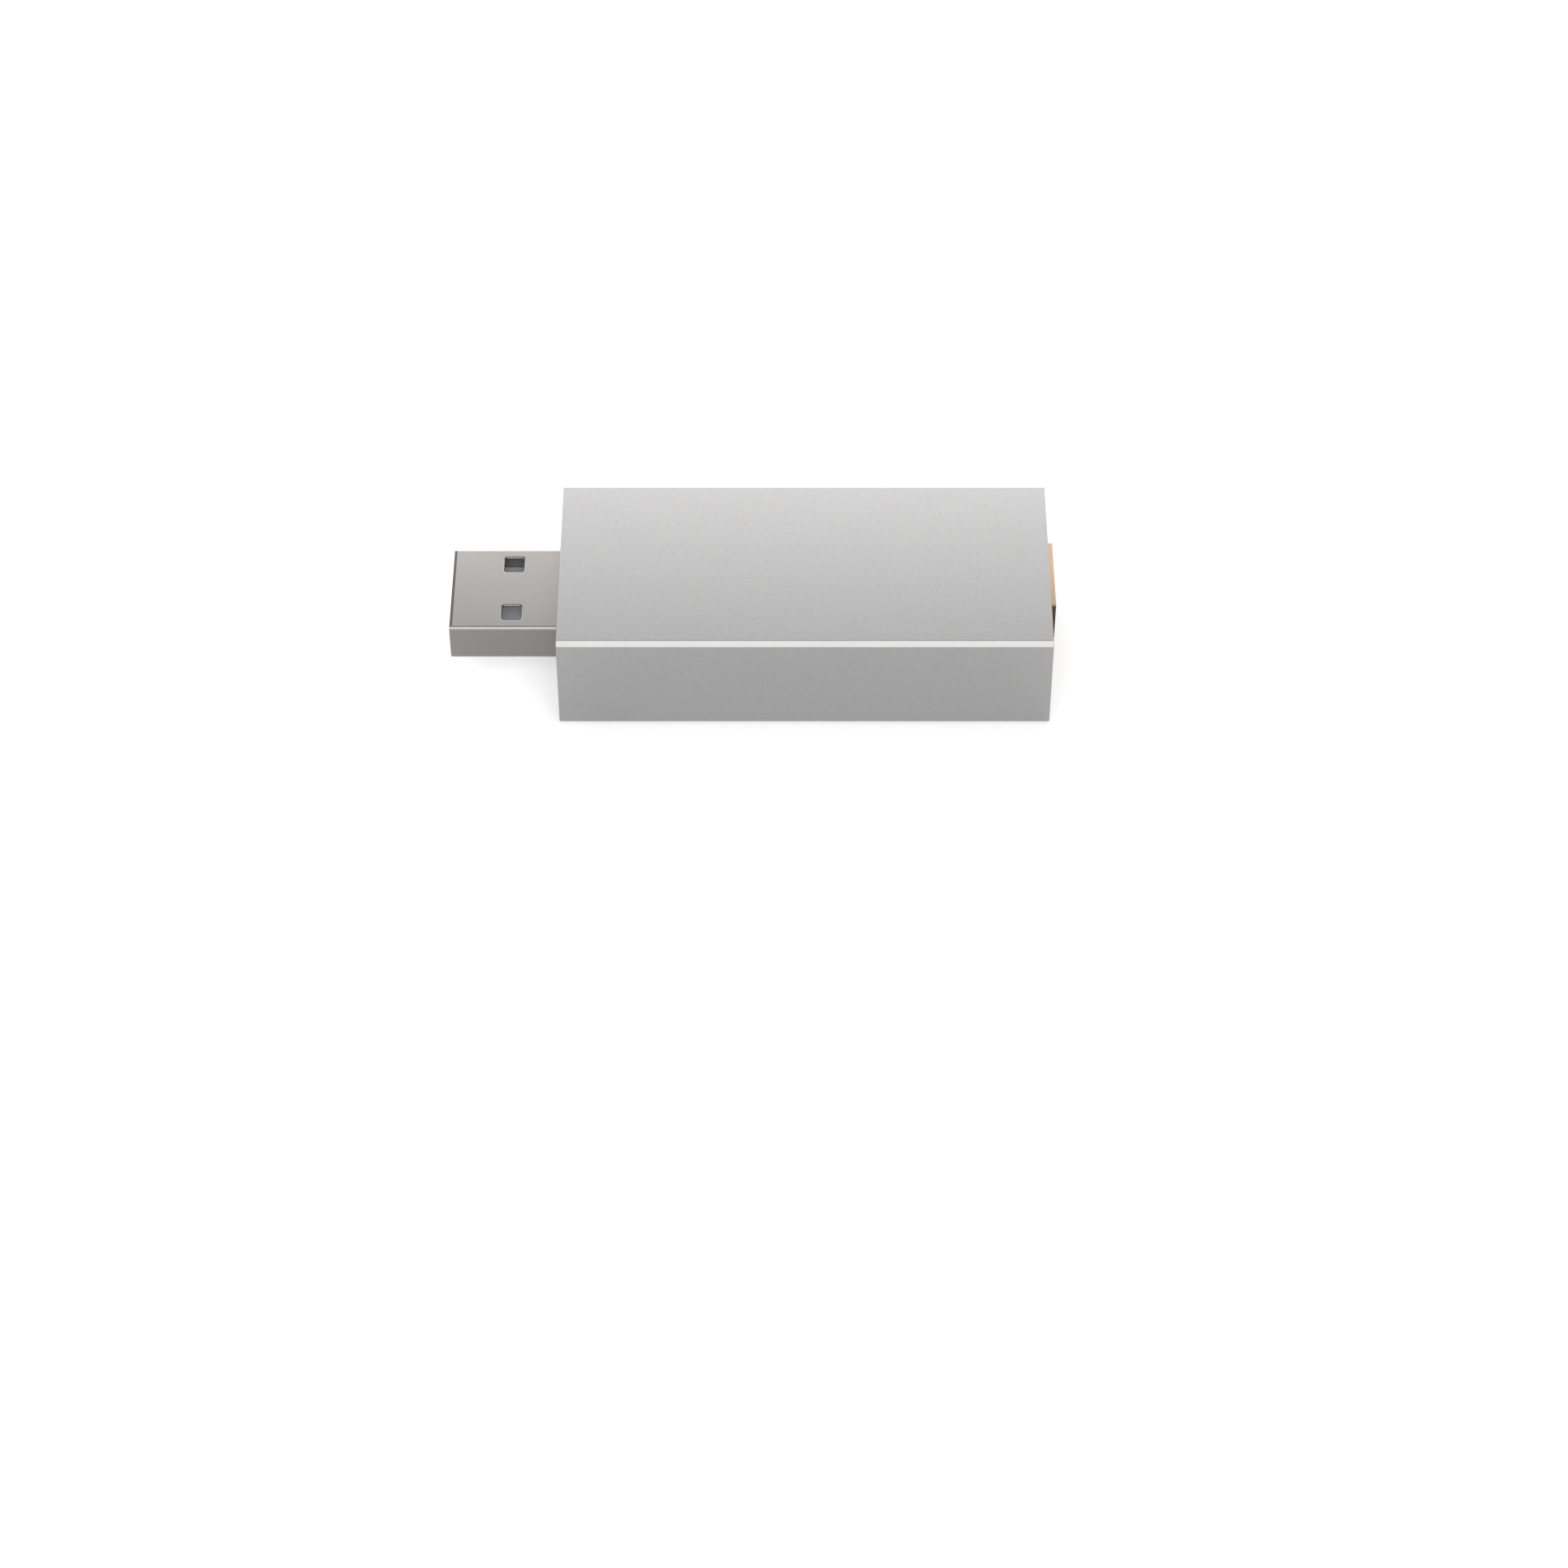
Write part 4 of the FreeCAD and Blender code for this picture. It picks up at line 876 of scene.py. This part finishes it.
# %% [markdown]
# ## Studio
#
# Metal shows what it reflects, so each flat of the stick is lit by one thing: its top by a soft box close behind
# it, its chamfer by a large one beside the camera, and its long side by the table in front. The table shines for
# the eye and in reflections alone. It is a little dimmer along the housing's foot, which shades the long side
# downwards.

# %% White table and wall
NEAR_REACH, FAR_REACH = 0.15, 0.6  # metres from the stick between which the table's glow grows to 1
# The dimmer strip in millimetres: its middle, its half length, and where it has faded at its ends and in front.
FOOT_MIDDLE, FOOT_HALF, FOOT_FADE, FOOT_FRONT = 9.0, 26, 34, 45


def sweep_material(name, near_glow, foot_dip):
    """Matt white that also glows for the eye and in reflections: 1 far off, near_glow round the object, and
    foot_dip less along the foot of the housing, where a real table gets less light."""
    material, tree, output, place = new_material(name)
    rays = add_node(tree, "ShaderNodeLightPath").outputs
    seen = add_node(tree, "ShaderNodeMath", {0: rays["Is Camera Ray"], 1: rays["Is Glossy Ray"]},
                    operation="MAXIMUM")
    seen = add_node(tree, "ShaderNodeMath", {0: seen.outputs["Value"], 1: rays["Is Transmission Ray"]},
                    operation="MAXIMUM")
    reach = add_node(tree, "ShaderNodeVectorMath", {0: place}, operation="LENGTH")
    glow = add_node(tree, "ShaderNodeMapRange", {
        "Value": reach.outputs["Value"], "From Min": NEAR_REACH, "From Max": FAR_REACH,
        "To Min": near_glow, "To Max": 1.0})
    from_middle = add_node(tree, "ShaderNodeVectorMath", {0: place, 1: (-FOOT_MIDDLE * MM, 0, 0)}, operation="ADD")
    aside = add_node(tree, "ShaderNodeVectorMath", {0: from_middle.outputs["Vector"]}, operation="ABSOLUTE")
    aside = add_node(tree, "ShaderNodeSeparateXYZ", {0: aside.outputs["Vector"]}).outputs
    dip_along = add_node(tree, "ShaderNodeMapRange", {
        "Value": aside["X"], "From Min": FOOT_HALF * MM, "From Max": FOOT_FADE * MM,
        "To Min": foot_dip, "To Max": 0.0})
    dip = add_node(tree, "ShaderNodeMapRange", {
        "Value": aside["Y"], "From Min": HOUSING_WIDTH / 2 * MM, "From Max": FOOT_FRONT * MM,
        "To Min": dip_along.outputs["Result"], "To Max": 0.0})
    glow = add_node(tree, "ShaderNodeMath", {0: glow.outputs["Result"], 1: dip.outputs["Result"]},
                    operation="SUBTRACT")
    strength = add_node(tree, "ShaderNodeMath", {0: glow.outputs["Value"], 1: seen.outputs["Value"]},
                        operation="MULTIPLY")
    light = add_node(tree, "ShaderNodeEmission", {"Strength": strength.outputs["Value"]})
    matt = add_node(tree, "ShaderNodeBsdfDiffuse", {"Color": linear("#EEEEEE")})
    both = add_node(tree, "ShaderNodeAddShader", {0: matt.outputs["BSDF"], 1: light.outputs["Emission"]})
    tree.links.new(both.outputs["Shader"], output.inputs["Surface"])
    return material


# %% [markdown]
# A photographer bends a sheet of paper up behind the product. From this height the camera sees only the table, so
# a flat plane and a low round wall, seen in reflections, do the same. The plane lies a hair below the object, so
# that the two don't share a face.

# %% Table and wall in place
TABLE_GLOW, FOOT_DIP = 0.53, 0.13
WALL_RADIUS, WALL_HEIGHT = 3.0, 0.75
TABLE_SIDE, TABLE_Z = 2.2 * WALL_RADIUS, -0.02 * MM

use_only(sleeve)
bpy.ops.mesh.primitive_plane_add(size=TABLE_SIDE, location=(0, 0, TABLE_Z))
table = bpy.context.object
table.name = "table"
table.data.materials.append(sweep_material("white_table", TABLE_GLOW, FOOT_DIP))
bpy.ops.mesh.primitive_cylinder_add(
    vertices=64, radius=WALL_RADIUS, depth=WALL_HEIGHT, end_fill_type="NOTHING", location=(0, 0, WALL_HEIGHT / 2))
wall = bpy.context.object
wall.name = "wall"
wall.data.materials.append(sweep_material("white_wall", 1.0, 0.0))
print("table glow:", TABLE_GLOW, "and at the foot:", round(TABLE_GLOW - FOOT_DIP, 2))

# %% [markdown]
# Two soft boxes stand where a photographer would put them for metal: a wide low one close behind the stick and a
# large one above the camera. The air between them stays dim, and that draws the thin dark lines along the bends.


# %% Lamps
def soft_box(name, watts, size_mm, centre_mm, aim_mm):
    """An area lamp of that width and height, aimed at a point and unseen by the camera."""
    lamp = bpy.data.objects.new(name, bpy.data.lights.new(name, "AREA"))
    scene.collection.objects.link(lamp)
    lamp.data.shape = "RECTANGLE"
    lamp.data.size, lamp.data.size_y = (side * MM for side in size_mm)
    lamp.data.energy = watts
    lamp.location = Vector(centre_mm) * MM
    lamp.rotation_euler = (Vector(aim_mm) * MM - lamp.location).to_track_quat("-Z", "Y").to_euler()
    lamp.visible_camera = False
    return lamp


lamps = [
    soft_box("back_soft_box", watts=0.121, size_mm=(220, 60), centre_mm=(5, 100, 68), aim_mm=(5, 0, 8)),
    soft_box("front_soft_box", watts=1.65, size_mm=(520, 460), centre_mm=(5, -400, 370), aim_mm=(5, 0, 0)),
]
print("lamps:", [lamp.name for lamp in lamps])

# %% Air and view
AIR_GLOW = 0.40

scene.world = bpy.data.worlds.new("studio_air")
scene.world.use_nodes = True
scene.world.node_tree.nodes.clear()
air = add_node(scene.world.node_tree, "ShaderNodeBackground", {"Color": (1, 1, 1, 1), "Strength": AIR_GLOW})
add_node(scene.world.node_tree, "ShaderNodeOutputWorld", {"Surface": air.outputs["Background"]})

scene.view_settings.view_transform = "Standard"
print("air glow:", AIR_GLOW)
